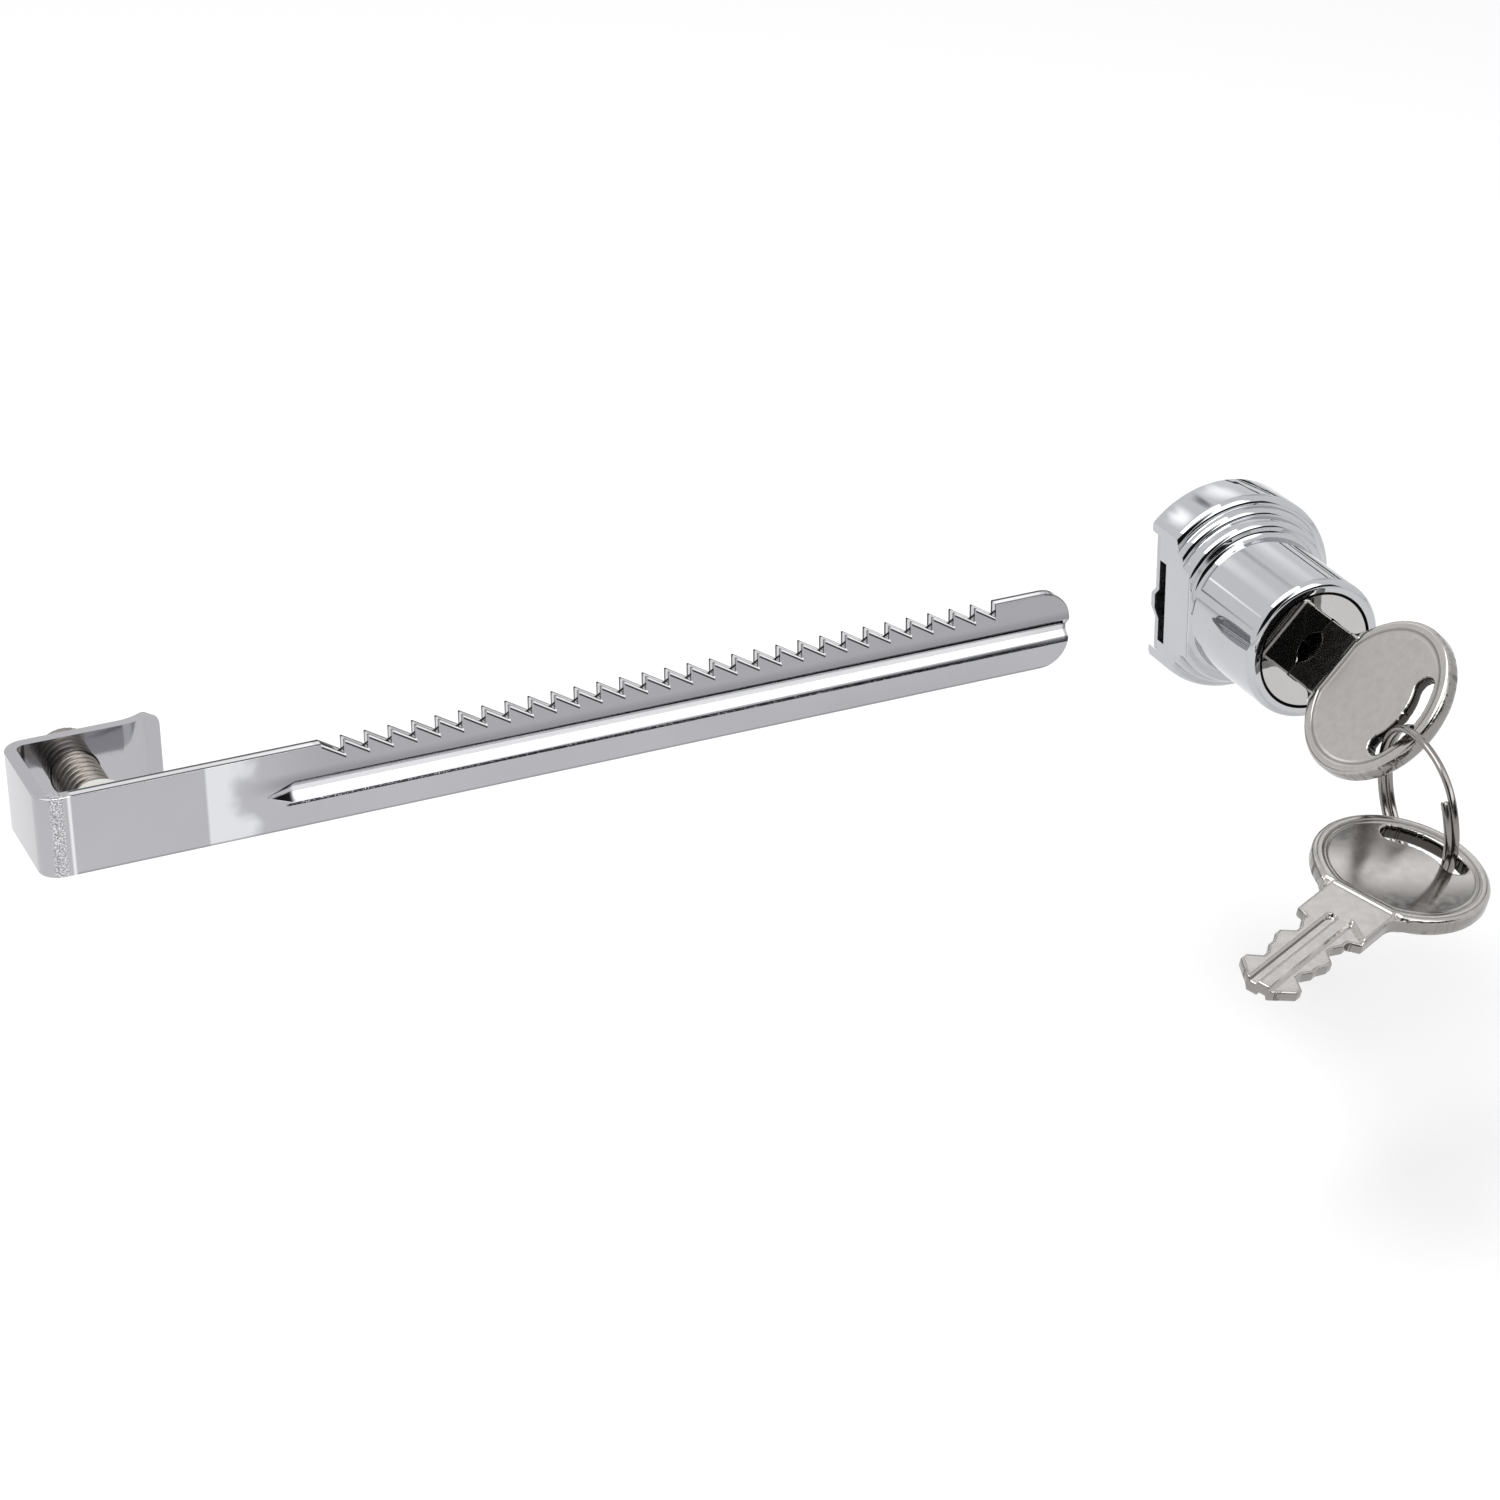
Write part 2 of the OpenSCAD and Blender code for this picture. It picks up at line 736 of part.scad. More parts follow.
// Outline of one edge of the blade from the neck to the tip, as half width and distance from the bow
function blade_edge() = concat(
    [[neck_width / 2, bow_chord - 0.5], [neck_width / 2, bit_first - 1.4]],
    [for (i = [0 : wafer_count - 1], side = [-0.55, 0.55]) [bitting[i], bit_first + i * wafer_pitch + side]],
    [[bitting[wafer_count - 1], bit_last + 0.6], [tip_half_width, tip_y]]
);

module blade() {
    half = blade_thickness / 2;
    edge = blade_edge();
    last = len(edge) - 1;
    difference() {
        translate([0, 0, -half])
        linear_extrude(height = blade_thickness)
        polygon(concat(edge, [for (i = [last : -1 : 0]) [-edge[i][0], edge[i][1]]]));
        for (turn = [0, 180])
            rotate([0, turn, 0]) {
                block([ward_from, bow_chord + neck_visible - 0.4, half - ward_depth],
                      [ward_to, tip_y + 1, half + 1]);
                block([-10, bow_chord + neck_visible - 1.2, half - 0.6], [-1.4, tip_y + 1, half + 1]);
            }
    }
}

// A point of the ring slot's middle line, at an angle from the slot's own middle
function slot_point(a) = [slot_radius * sin(a), slot_radius * (1 - cos(a)) - slot_offset, 0];

// The curved slot for the ring, seen through the bow
module ring_slot() {
    translate([0, 0, -bow_thickness]) {
        translate([0, slot_radius - slot_offset, 0])
        rotate([0, 0, 270 - slot_half_angle])
        rotate_extrude(angle = 2 * slot_half_angle)
        translate([slot_radius - slot_width / 2, 0])
        square([slot_width, 2 * bow_thickness]);
        for (side = [-1, 1])
            translate(slot_point(side * slot_half_angle))
            cylinder(r = slot_width / 2, h = 2 * bow_thickness);
    }
}

// A flat key lying in X and Y, its tip toward +Y and the middle of its bow at the origin
module flat_key() {
    half = bow_thickness / 2;
    difference() {
        translate([0, 0, -half])
        cylinder(r = bow_r, h = bow_thickness);
        block([-bow_r - 1, bow_chord, -half - 1], [bow_r + 1, bow_r + 1, half + 1]);
        for (turn = [0, 180])
            rotate([0, turn, 0])
            difference() {
                translate([0, 0, half - rim_depth])
                cylinder(r = bow_r - rim_width, h = 1);
                block([-bow_r, bow_chord - rim_width / 2, 0], [bow_r, bow_r, half + 2]);
            }
        ring_slot();
    }
    blade();
}

module key() {
    color("silver")
    at_keyway()
    translate([0, bow_y, 0])
    flat_key();
}

// Moves to the ring's middle: the ring hangs in the inserted key's slot, which lies toward +X from there
module at_ring() {
    at_keyway()
    translate([0, bow_y, 0] + slot_point(key_slot_angle))
    rotate(ring_turn)
    translate([-ring_radius, 0, 0])
    children();
}

module spare_key() {
    color("silver")
    at_ring()
    rotate([0, 0, spare_along])
    translate([ring_radius, 0, 0])
    rotate(spare_turn)
    translate(-slot_point(spare_slot_angle))
    flat_key();
}

// Height of the ring's wire at an angle: two flat layers joined by one smooth crossing
ring_sweep = 720 - ring_crossing;
function ring_height(a) =
    let (s = min(max((a - ring_sweep / 2) / ring_crossing + 0.5, 0), 1))
    ring_layer * (s * s * (3 - 2 * s) - 0.5);

module split_ring() {
    steps = 64;
    angles = [for (i = [0 : steps]) ring_sweep * i / steps];
    middles = [for (a = angles) [ring_radius * cos(a), ring_radius * sin(a), ring_height(a)]];
    apart = min([for (i = [0 : steps], j = [i + 8 : 1 : steps]) norm(middles[i] - middles[j])]);
    echo(ring_self_gap = apart - ring_wire);
    color("silver")
    at_ring()
    rotate([0, 0, ring_start])
    wire_tube(
        middles,
        [for (a = angles) [cos(a), sin(a), 0]],
        [for (a = angles) [0, 0, 1]],
        ring_wire
    );
}

ratchet_bar();
clamp_screw();
pressure_pad();
lock_housing();
rear_plate();
plate_rivets();
plug();
retaining_pin();
wafer_1();
wafer_2();
wafer_3();
wafer_4();
wafer_5();
wafer_6();
wafer_springs();
drive_cam();
locking_pawl();
key();
split_ring();
spare_key();
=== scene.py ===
# %% [markdown]
# A ratchet lock for sliding glass doors
#
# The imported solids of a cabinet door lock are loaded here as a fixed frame: a chromed bar with saw teeth,
# a keyed lock that slides on it, and two keys on a split ring. The solids already have the right sizes and
# places, so this lesson gives them what steel, zinc and brass show to the eye: eased edges, threads, wire,
# plating and a room to reflect.

# %% Load the frame
from math import pi, radians

import bmesh
import bpy
import numpy as np
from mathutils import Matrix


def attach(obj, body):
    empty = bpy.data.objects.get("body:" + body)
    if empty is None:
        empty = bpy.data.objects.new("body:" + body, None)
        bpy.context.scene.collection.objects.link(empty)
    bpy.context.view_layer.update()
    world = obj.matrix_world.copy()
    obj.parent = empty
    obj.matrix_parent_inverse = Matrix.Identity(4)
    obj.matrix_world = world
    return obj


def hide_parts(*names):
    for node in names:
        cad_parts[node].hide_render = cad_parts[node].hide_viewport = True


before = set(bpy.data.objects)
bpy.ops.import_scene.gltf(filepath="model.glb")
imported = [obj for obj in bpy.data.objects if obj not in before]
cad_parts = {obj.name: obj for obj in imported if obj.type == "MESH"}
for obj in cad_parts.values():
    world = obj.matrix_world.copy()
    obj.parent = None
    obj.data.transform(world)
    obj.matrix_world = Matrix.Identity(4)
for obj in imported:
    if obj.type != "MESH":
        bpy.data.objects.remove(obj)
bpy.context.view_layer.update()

mm = 0.001

# %% [markdown]
# The camera
#
# The photograph was taken from the hook's side, a little above the bar, with a long lens. The camera's place
# and turn were worked out from the bar's tooth pitch and the lock's circles, so a piece that is right in
# space is also right in the picture. A camera looks along its own -Z axis, so its matrix is built from
# three directions: right, up and back.

# %% Place the camera
def put(name, data):
    """A new object that holds the data, in the scene at the origin."""
    piece = bpy.data.objects.new(name, data)
    bpy.context.collection.objects.link(piece)
    return piece


photo_side, focal_px, sensor_mm = 1500, 4164.24, 36
turn, lift, roll = -0.4165, 0.4789, -0.0118
eye_mm = np.array([-111.0056, -447.9738, 245.1107])

back = np.array([np.sin(turn) * np.cos(lift), -np.cos(turn) * np.cos(lift), np.sin(lift)])
level = np.array([np.cos(turn), np.sin(turn), 0.0])
rise = np.cross(back, level)
right = np.cos(roll) * level + np.sin(roll) * rise
up = np.cos(roll) * rise - np.sin(roll) * level

camera = put("camera", bpy.data.cameras.new("camera"))
camera.data.sensor_width = sensor_mm
camera.data.lens = focal_px / photo_side * sensor_mm
pose = np.eye(4)
pose[:3, 0], pose[:3, 1], pose[:3, 2], pose[:3, 3] = right, up, back, eye_mm * mm
camera.matrix_world = pose.T.tolist()
bpy.context.scene.camera = camera
print("lens in mm:", round(camera.data.lens, 2))

# %% [markdown]
# Colours and shader nodes
#
# Colours are written as the hex values that a screen shows. Cycles works with linear light, so one function
# turns them round. Every material below is a small tree of nodes, and one more function adds a node,
# sets its values and joins its inputs, which keeps each recipe as short as its description.

# %% Two helpers for materials
def linear(code):
    """Screen colour to linear light: c/12.92 for dark channels, else ((c + 0.055)/1.055) to the power 2.4."""
    c = np.array([int(code[i:i + 2], 16) for i in (1, 3, 5)]) / 255
    return (*np.where(c <= 0.04045, c / 12.92, ((c + 0.055) / 1.055) ** 2.4).tolist(), 1.0)


def add_node(tree, kind, settings=None, links=None):
    """Adds one shader node, sets its properties or sockets, and joins sockets to (node, output) pairs."""
    node = tree.nodes.new(kind)
    for name, value in (settings or {}).items():
        if isinstance(name, str) and hasattr(node, name):
            setattr(node, name, value)
        else:
            node.inputs[name].default_value = value
    for name, (source, output) in (links or {}).items():
        tree.links.new(source.outputs[output], node.inputs[name])
    return node


print("chrome grey in linear light:", [round(c, 3) for c in linear("#b9babf")[:3]])

# %% [markdown]
# Metal finishes
#
# Everything here is metal apart from the pad: chrome plate on steel and on zinc, satin nickel on the keys,
# drawn spring wire, ground steel and brass. They share one build. A broad, low ripple bends reflections as
# a pressed or cast surface does, a fine grain spreads them, and cloudy variation in colour and roughness
# stands for handling. What differs is how large each of these is, given in millimetres.

# %% Shared build of a metal
def metal(name, light, dark, rough, cloud_mm, ripple, grain):
    """A metal whose colour runs from dark to light and whose roughness runs over a range along one cloudy
    noise; ripple and grain are (size in mm, height in mm) of two bumps laid over each other. It comes with
    the nodes that later marks are painted through."""
    material = bpy.data.materials.new(name)
    material.use_nodes = True
    tree = material.node_tree
    shader = tree.nodes["Principled BSDF"]
    shader.inputs["Metallic"].default_value = 1.0
    place = add_node(tree, "ShaderNodeTexCoord")
    cloud = add_node(tree, "ShaderNodeTexNoise",
                     {"Scale": 1 / (cloud_mm * mm), "Detail": 4.0, "Roughness": 0.6},
                     {"Vector": (place, "Object")})
    tint = add_node(tree, "ShaderNodeMix",
                    {"data_type": "RGBA", 6: linear(dark), 7: linear(light)}, {0: (cloud, "Fac")})
    gloss = add_node(tree, "ShaderNodeMapRange",
                     {"From Min": 0.3, "From Max": 0.7, "To Min": rough[0], "To Max": rough[1]},
                     {"Value": (cloud, "Fac")})
    waves = add_node(tree, "ShaderNodeTexNoise", {"Scale": 1 / (ripple[0] * mm), "Detail": 1.0},
                     {"Vector": (place, "Object")})
    specks = add_node(tree, "ShaderNodeTexNoise", {"Scale": 1 / (grain[0] * mm), "Detail": 3.0},
                      {"Vector": (place, "Object")})
    broad = add_node(tree, "ShaderNodeBump", {"Strength": 1.0, "Distance": ripple[1] * mm},
                     {"Height": (waves, "Fac")})
    fine = add_node(tree, "ShaderNodeBump", {"Strength": 1.0, "Distance": grain[1] * mm},
                    {"Height": (specks, "Fac"), "Normal": (broad, "Normal")})
    for socket, source, output in (("Base Color", tint, 2), ("Roughness", gloss, 0), ("Normal", fine, 0)):
        tree.links.new(source.outputs[output], shader.inputs[socket])
    return material, {"shader": shader, "place": place, "tint": tint}


# %% Finishes of the pieces
# Bright chrome over a rolled strip: a clear reflection with slow waves from pressing and bending
bar_chrome, bar_parts = metal("chrome_plate_on_pressed_steel", "#b5b5b9", "#a7a7ab", (0.05, 0.10), 26,
                              (14, 0.006), (0.5, 0.0003))
# Bright chrome over a polished casting: the sharpest mirror of the set
lock_chrome, lock_parts = metal("chrome_plate_on_polished_zinc", "#c0c1c5", "#b6b7bb", (0.03, 0.06), 7,
                                (9, 0.0008), (0.6, 0.0001))
# Polished plug face: mirror with faint cloudy wiping marks
plug_chrome, plug_parts = metal("polished_nickel_on_brass_plug", "#c2c1c0", "#b3b2b1", (0.03, 0.07), 4,
                                (6, 0.001), (0.4, 0.0002))
# Zinc-plated sheet: pale, slightly blue, with a soft sheen
sheet_zinc, _ = metal("zinc_plated_sheet_steel", "#c2c3c6", "#a9abaf", (0.20, 0.32), 3.5,
                      (7, 0.006), (0.25, 0.0015))
# Tumbled satin nickel on brass keys: a warm grey with a fine even tooth
key_nickel, key_parts = metal("satin_nickel_on_key_brass", "#b8b5b2", "#a5a29f", (0.13, 0.19), 1.2,
                              (6, 0.0008), (0.3, 0.0006))
# Dull machine screw steel: warm grey with a used, oily look
screw_steel, _ = metal("dull_plated_screw_steel", "#9b958f", "#746f6a", (0.26, 0.42), 1.6,
                       (3, 0.004), (0.12, 0.0015))
# Nickelled spring wire: bright and drawn smooth
wire_steel, _ = metal("nickelled_spring_wire", "#94908d", "#7d7976", (0.12, 0.22), 2,
                      (4, 0.003), (0.2, 0.0006))
# Hardened and ground steel of the hidden pin, cam and pawl
ground_steel, _ = metal("ground_hardened_steel", "#8f9093", "#6f7073", (0.22, 0.36), 2,
                        (4, 0.003), (0.15, 0.0012))
# Stamped brass of the wafers
stamped_brass, _ = metal("stamped_wafer_brass", "#d8b56a", "#b38d45", (0.20, 0.34), 1.8,
                         (3, 0.003), (0.15, 0.0012))
print("materials, those of the solids among them:", len(bpy.data.materials))

# %% [markdown]
# Painted light and shade
#
# Few places are plain plate, and the marks here are painted light and shade. The bar has light and dark specks
# painted at the bend, where the strip stretched before it was plated, for glints and shade, a painted highlight
# line where the bend ends, and a painted reflection just before the pressed groove. Its sheared top edge has a
# painted highlight in the middle and painted dark lines at both corners, and the teeth have a painted highlight
# along the front corner with a painted dark line below it. The groove has painted shade along its upper lip, a
# painted reflection on its floor, a painted dark reflection along its lower lip, painted shade at its pointed
# start and painted light and shade where it runs out at the bar's end; the strip's lower edge is painted
# darker. The gap round the plug's face and the keyway behind it are painted black as shade. Each mark is a
# smooth mask made from Object coordinates, mixed over the plate's own colour.

# %% Masks from places on the piece
def between(tree, value, output, low, high, soft):
    """One from low to high, falling to nought over the soft length outside either end, all in millimetres:
    the product of two ramps."""
    ramps = [add_node(tree, "ShaderNodeMapRange",
                      {"interpolation_type": "SMOOTHSTEP", "From Min": a * mm, "From Max": b * mm},
                      {"Value": (value, output)})
             for a, b in ((low - soft, low), (high + soft, high))]
    return add_node(tree, "ShaderNodeMath", {"operation": "MULTIPLY"}, {0: (ramps[0], 0), 1: (ramps[1], 0)})


def paint(material, parts, masks, colour, share=1.0):
    """Mixes a colour over the plate's tint by the product of the masks and a share."""
    tree = material.node_tree
    amount = add_node(tree, "ShaderNodeMath", {"operation": "MULTIPLY", 1: share}, {0: (masks[0], 0)})
    for mask in masks[1:]:
        amount = add_node(tree, "ShaderNodeMath", {"operation": "MULTIPLY"}, {0: (amount, 0), 1: (mask, 0)})
    parts["tint"] = add_node(tree, "ShaderNodeMix", {"data_type": "RGBA", 7: linear(colour)},
                             {0: (amount, 0), 6: (parts["tint"], 2)})
    tree.links.new(parts["tint"].outputs[2], parts["shader"].inputs["Base Color"])


def axis_distance(material, parts, centre_mm):
    """Distance from the lock's axis: the length of the place less the centre, with Y left out."""
    tree = material.node_tree
    moved = add_node(tree, "ShaderNodeVectorMath",
                     {"operation": "SUBTRACT", 1: [c * mm for c in centre_mm]}, {0: (parts["place"], "Object")})
    flat = add_node(tree, "ShaderNodeVectorMath", {"operation": "MULTIPLY", 1: (1, 0, 1)}, {0: (moved, 0)})
    return add_node(tree, "ShaderNodeVectorMath", {"operation": "LENGTH"}, {0: (flat, 0)})


# %% Painted shade in the gap round the plug and in its keyway
lock_axis = (158.6, 0, 1.2)
plug_rim, bore_wall, keyway_y, gap_shade_black = 8.0, 8.38, -24.0, "#0c0b0b"
plug_tree, lock_tree = plug_chrome.node_tree, lock_chrome.node_tree
plug_radius = axis_distance(plug_chrome, plug_parts, lock_axis)
# Painted shade: the plug's side beyond the rim of its face is painted black, where the gap round it is dark
paint(plug_chrome, plug_parts, [between(plug_tree, plug_radius, "Value", plug_rim, 12, 0.04)], gap_shade_black)
# Painted shade: the plug behind the keyway's mouth is painted near-black, where the keyway recess is dark
plug_place = add_node(plug_tree, "ShaderNodeSeparateXYZ", {}, {0: (plug_parts["place"], "Object")})
paint(plug_chrome, plug_parts, [between(plug_tree, plug_place, "Y", keyway_y, 30, 0.12)], "#141312")
lock_radius = axis_distance(lock_chrome, lock_parts, lock_axis)
# Painted shade: the housing's bore wall, the outer side of the same gap, is painted black
paint(lock_chrome, lock_parts, [between(lock_tree, lock_radius, "Value", -1, bore_wall, 0.04)], gap_shade_black)
print("dark gap in mm from the lock's axis:", plug_rim, "to", bore_wall)

# %% A painted reflection before the groove, and painted glints and shade at the bend
bar_tree = bar_chrome.node_tree
bar_place = add_node(bar_tree, "ShaderNodeSeparateXYZ", {}, {0: (bar_parts["place"], "Object")})
past_end, reflection_patch_mm, ragged_mm, speck_mm = 150, 5, 9, 0.2


def on_bar(axis, low, high, soft):
    """A mask between two places along one axis of the bar, in millimetres."""
    return between(bar_tree, bar_place, axis, low, high, soft)


def mark(colour, *masks, share=1.0):
    """A mark on the bar's plate where all of the masks meet."""
    paint(bar_chrome, bar_parts, masks, colour, share)


# A painted reflection: a pale patch with a ragged end on the front face, just before the pressed groove
ragged = add_node(bar_tree, "ShaderNodeTexNoise", {"Scale": 1 / (reflection_patch_mm * mm), "Detail": 2.0},
                  {"Vector": (bar_parts["place"], "Object")})
shifted = add_node(bar_tree, "ShaderNodeMath", {"operation": "MULTIPLY_ADD", 1: ragged_mm * mm},
                   {0: (ragged, "Fac"), 2: (bar_place, "X")})
mark("#d6d7da", on_bar("X", 12.6, 60, 0.4), between(bar_tree, shifted, "Value", -60, 20.5, 3.0))
pebbles = add_node(bar_tree, "ShaderNodeTexNoise", {"Scale": 1 / (speck_mm * mm), "Detail": 2.0},
                   {"Vector": (bar_parts["place"], "Object")})
# Painted glints and painted shade: light and dark specks mixed into the colour at the front bend
bend = [on_bar("X", -7.2, -6.0, 0.5), on_bar("Y", -3, 0, 0.5)]
for none_at, full_at, colour in ((0.52, 0.60, "#85858a"), (0.48, 0.40, "#e2e2e4")):
    specks = add_node(bar_tree, "ShaderNodeMapRange", {"From Min": none_at, "From Max": full_at},
                      {"Value": (pebbles, "Fac")})
    mark(colour, *bend, specks, share=0.85)
# A painted highlight: a thin bright line down the front face where the bend ends
mark("#e8e8ea", on_bar("X", -5.1, -4.95, 0.25), on_bar("Y", -3, -1.3, 0.2), share=0.8)
print("specks at the bend in mm:", speck_mm)

# %% Painted highlight and dark lines on the sheared top edge
on_strip = on_bar("X", -4.5, past_end, 0.5)
toothed = on_bar("X", 27, past_end, 0.5)
top_edge = on_bar("Z", 2.9, 9, 0.1)
# Painted light and shade: a painted highlight across the top edge, with a painted dark line at its rear corner
# and one at its front corner
strip_light_and_shade_lines = ((-1.22, -0.46, "#dcdcdf"), (-0.42, -0.06, "#4c4c4f"), (-1.53, -1.27, "#555558"))
tooth_light_and_shade_lines = ((-1.3, -0.5, "#c6c6c9"), (-0.46, -0.06, "#2c2c2e"), (-1.54, -1.25, "#38383a"))
for where, lines, soft_mm in ((on_strip, strip_light_and_shade_lines, 0.04), (toothed, tooth_light_and_shade_lines, 0.03)):
    for low_y, high_y, colour in lines:
        mark(colour, where, top_edge, on_bar("Y", low_y, high_y, soft_mm))
print("lines along the top edge:", len(strip_light_and_shade_lines) + len(tooth_light_and_shade_lines))

# %% The pressed groove
front_face = on_bar("Y", -3, -1.25, 0.1)
# A soft shade along the upper lip and over the plate above it
mark("#69696d", on_bar("X", 25, past_end, 9), on_bar("Z", 0.95, 1.2, 1.5), share=0.55)
mark("#87878b", on_bar("X", 30, past_end, 14), front_face, on_bar("Z", 1.0, 9, 0.3), share=0.4)
# A painted reflection: the groove's floor is painted pale, as a bright band seen in it
mark("#d9d9dc", on_bar("X", 24, past_end, 0.6), on_bar("Y", -1.4, -0.42, 0.06), on_bar("Z", -1.2, 0.2, 0.5))
# A painted dark reflection: a black, broken line along the lower lip
broken = add_node(bar_tree, "ShaderNodeMapRange", {"From Min": 0.34, "From Max": 0.44},
                  {"Value": (pebbles, "Fac")})
mark("#121212", on_bar("X", 23, past_end, 0.6), front_face, broken, on_bar("Z", -2.16, -1.88, 0.06), share=0.95)
# Painted shade at the pointed start, which is painted black, and a darker painted line along the strip's lower
# edge
mark("#151515", on_bar("X", 20.8, 23.2, 1.0), on_bar("Y", -1.5, 1, 0.1), on_bar("Z", -1.7, -0.75, 0.15))
mark("#85858a", on_strip, front_face, on_bar("Z", -5.7, -5.25, 0.12), share=0.7)
# Painted light and shade at the open end, where the groove runs out of the bar: paler over the last few
# millimetres, darker at the very end
groove_end = [on_bar("Y", -1.55, 1.2, 0.03), on_bar("Z", -1.9, 1.1, 0.1)]
mark("#c4c4c7", *groove_end, on_bar("X", 131, past_end, 6), share=0.7)
mark("#7d7d81", *groove_end, on_bar("X", 133.6, past_end, 0.3), share=0.9)
print("nodes in the bar's plate:", len(bar_tree.nodes))

# %% Painted highlight and shade on the front corners of the teeth
first_tooth, tooth_land, tooth_pitch, tooth_depth, half_bar = 27.45, 0.2, 3.175, 1.9, 5.5
fall = tooth_depth / (tooth_pitch - tooth_land)
from_tip = add_node(bar_tree, "ShaderNodeMath", {"operation": "ADD", 1: -(first_tooth + tooth_land) * mm},
                    {0: (bar_place, "X")})
along_slope = add_node(bar_tree, "ShaderNodeMath", {"operation": "FLOORED_MODULO", 1: tooth_pitch * mm},
                       {0: (from_tip, 0)})
slope_top = add_node(bar_tree, "ShaderNodeMath", {"operation": "MULTIPLY_ADD", 1: -fall, 2: half_bar * mm},
                     {0: (along_slope, 0)})
below_slope = add_node(bar_tree, "ShaderNodeMath", {"operation": "SUBTRACT"},
                       {0: (slope_top, 0), 1: (bar_place, "Z")})
on_teeth = [on_bar("X", 27.7, 122.6, 0.1), on_bar("Y", -3, -1.5, 0.02)]
# A painted highlight just below each tooth's slope, and a painted dark line under it
for low_d, high_d, colour in ((-0.06, 0.22, "#e9e9eb"), (0.26, 0.50, "#3c3c3f")):
    mark(colour, *on_teeth, between(bar_tree, below_slope, "Value", low_d, high_d, 0.04))
print("slope of a tooth in degrees:", round(float(np.degrees(np.arctan(fall))), 1))

# %% [markdown]
# The pad's nylon
#
# The pad that presses the pane is moulded nylon: a milky white that lets a little light in, with a matt
# skin. It is the one piece that isn't metal.

# %% Moulded nylon
pad_nylon = bpy.data.materials.new("moulded_milky_nylon")
pad_nylon.use_nodes = True
nylon_tree = pad_nylon.node_tree
nylon = nylon_tree.nodes["Principled BSDF"]
nylon.inputs["IOR"].default_value = 1.53
nylon.inputs["Subsurface Weight"].default_value = 0.15
nylon.inputs["Subsurface Scale"].default_value = 0.8 * mm
nylon_place = add_node(nylon_tree, "ShaderNodeTexCoord")
nylon_cloud = add_node(nylon_tree, "ShaderNodeTexNoise", {"Scale": 1 / (2.5 * mm), "Detail": 3.0},
                       {"Vector": (nylon_place, "Object")})
nylon_tint = add_node(nylon_tree, "ShaderNodeMix",
                      {"data_type": "RGBA", 6: linear("#c9c8c4"), 7: linear("#dddcd9")},
                      {0: (nylon_cloud, "Fac")})
nylon_skin = add_node(nylon_tree, "ShaderNodeTexNoise", {"Scale": 1 / (0.2 * mm)},
                      {"Vector": (nylon_place, "Object")})
nylon_bump = add_node(nylon_tree, "ShaderNodeBump", {"Distance": 0.002 * mm}, {"Height": (nylon_skin, "Fac")})
nylon_gloss = add_node(nylon_tree, "ShaderNodeMapRange", {"To Min": 0.38, "To Max": 0.52},
                       {"Value": (nylon_cloud, "Fac")})
nylon_tree.links.new(nylon_tint.outputs[2], nylon.inputs["Base Color"])
nylon_tree.links.new(nylon_gloss.outputs[0], nylon.inputs["Roughness"])
nylon_tree.links.new(nylon_bump.outputs[0], nylon.inputs["Normal"])
print("nylon nodes:", len(nylon_tree.nodes))

# %% [markdown]
# Eased edges
#
# No real edge is perfectly sharp: plating, polishing and tumbling leave a small round that catches a line
# of light. A copy of a solid's mesh has its loose triangles merged and its flat faces joined again, and a
# Bevel modifier then rounds every edge that is sharper than an angle. The width is what differs between a
# moulded pad and a plated casting, and the bar's differs from place to place.

# %% Copy a solid with eased edges
def smooth_run(seeds, angle, straight=0.9):
    """The seed edges and every sharp edge that runs on from one of them: the cosine of the turn from one edge
    to the next is more than straight."""
    run, waiting = set(seeds), list(seeds)
    while waiting:
        edge = waiting.pop()
        for vert in edge.verts:
            ahead = (vert.co - edge.other_vert(vert).co).normalized()
            for other in vert.link_edges:
                onward = (other.other_vert(vert).co - vert.co).normalized()
                sharp = other.calc_face_angle(0.0) > radians(angle)
                if other not in run and sharp and ahead.dot(onward) > straight:
                    run.add(other)
                    waiting.append(other)
    return run


def eased(node, body, finish, width_mm, angle=28, rounds=3, merge_mm=0.002, flat=0.4, plain=None):
    """The solid's own triangles, merged, with flat ones joined into whole faces. Each edge sharper than the
    angle becomes a round whose width in mm is width_mm, or width_mm(x, y, z) at the edge's middle. Points
    nearer than merge_mm become one, which closes fine seams, and faces within flat degrees of each other are
    joined. The edges of faces that plain(face) names, and what runs on from them, stay as they are."""
    form = bmesh.new()
    form.from_mesh(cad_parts[node].data)
    bmesh.ops.remove_doubles(form, verts=form.verts, dist=merge_mm * mm)
    bmesh.ops.dissolve_limit(form, angle_limit=radians(flat), verts=form.verts, edges=form.edges)
    mesh = bpy.data.meshes.new(node + "_eased")
    form.to_mesh(mesh)
    seeds = [e for e in form.edges if plain and any(plain(f) for f in e.link_faces)]
    left_plain = smooth_run(seeds, angle)
    sharp = np.array([e.calc_face_angle(0.0) > radians(angle) and e not in left_plain for e in form.edges])
    middles = np.array([((e.verts[0].co + e.verts[1].co) / 2)[:] for e in form.edges]) / mm
    form.free()
    widths = width_mm(*middles.T) if callable(width_mm) else np.full(len(middles), width_mm)
    widths = np.where(sharp, widths, 0.0)
    mesh.materials.append(finish)
    mesh.shade_smooth()
    mesh.set_sharp_from_angle(angle=radians(angle))
    weight = mesh.attributes.new("bevel_weight_edge", "FLOAT", "EDGE")
    weight.data.foreach_set("value", (widths / widths.max()).astype(np.float32))
    piece = put(node + "_eased", mesh)
    bevel = piece.modifiers.new("eased edges", "BEVEL")
    bevel.width = widths.max() * mm
    bevel.segments = rounds
    bevel.limit_method = "WEIGHT"
    bevel.use_clamp_overlap = False
    bevel.harden_normals = True
    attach(piece, body)
    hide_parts(node)
    return piece


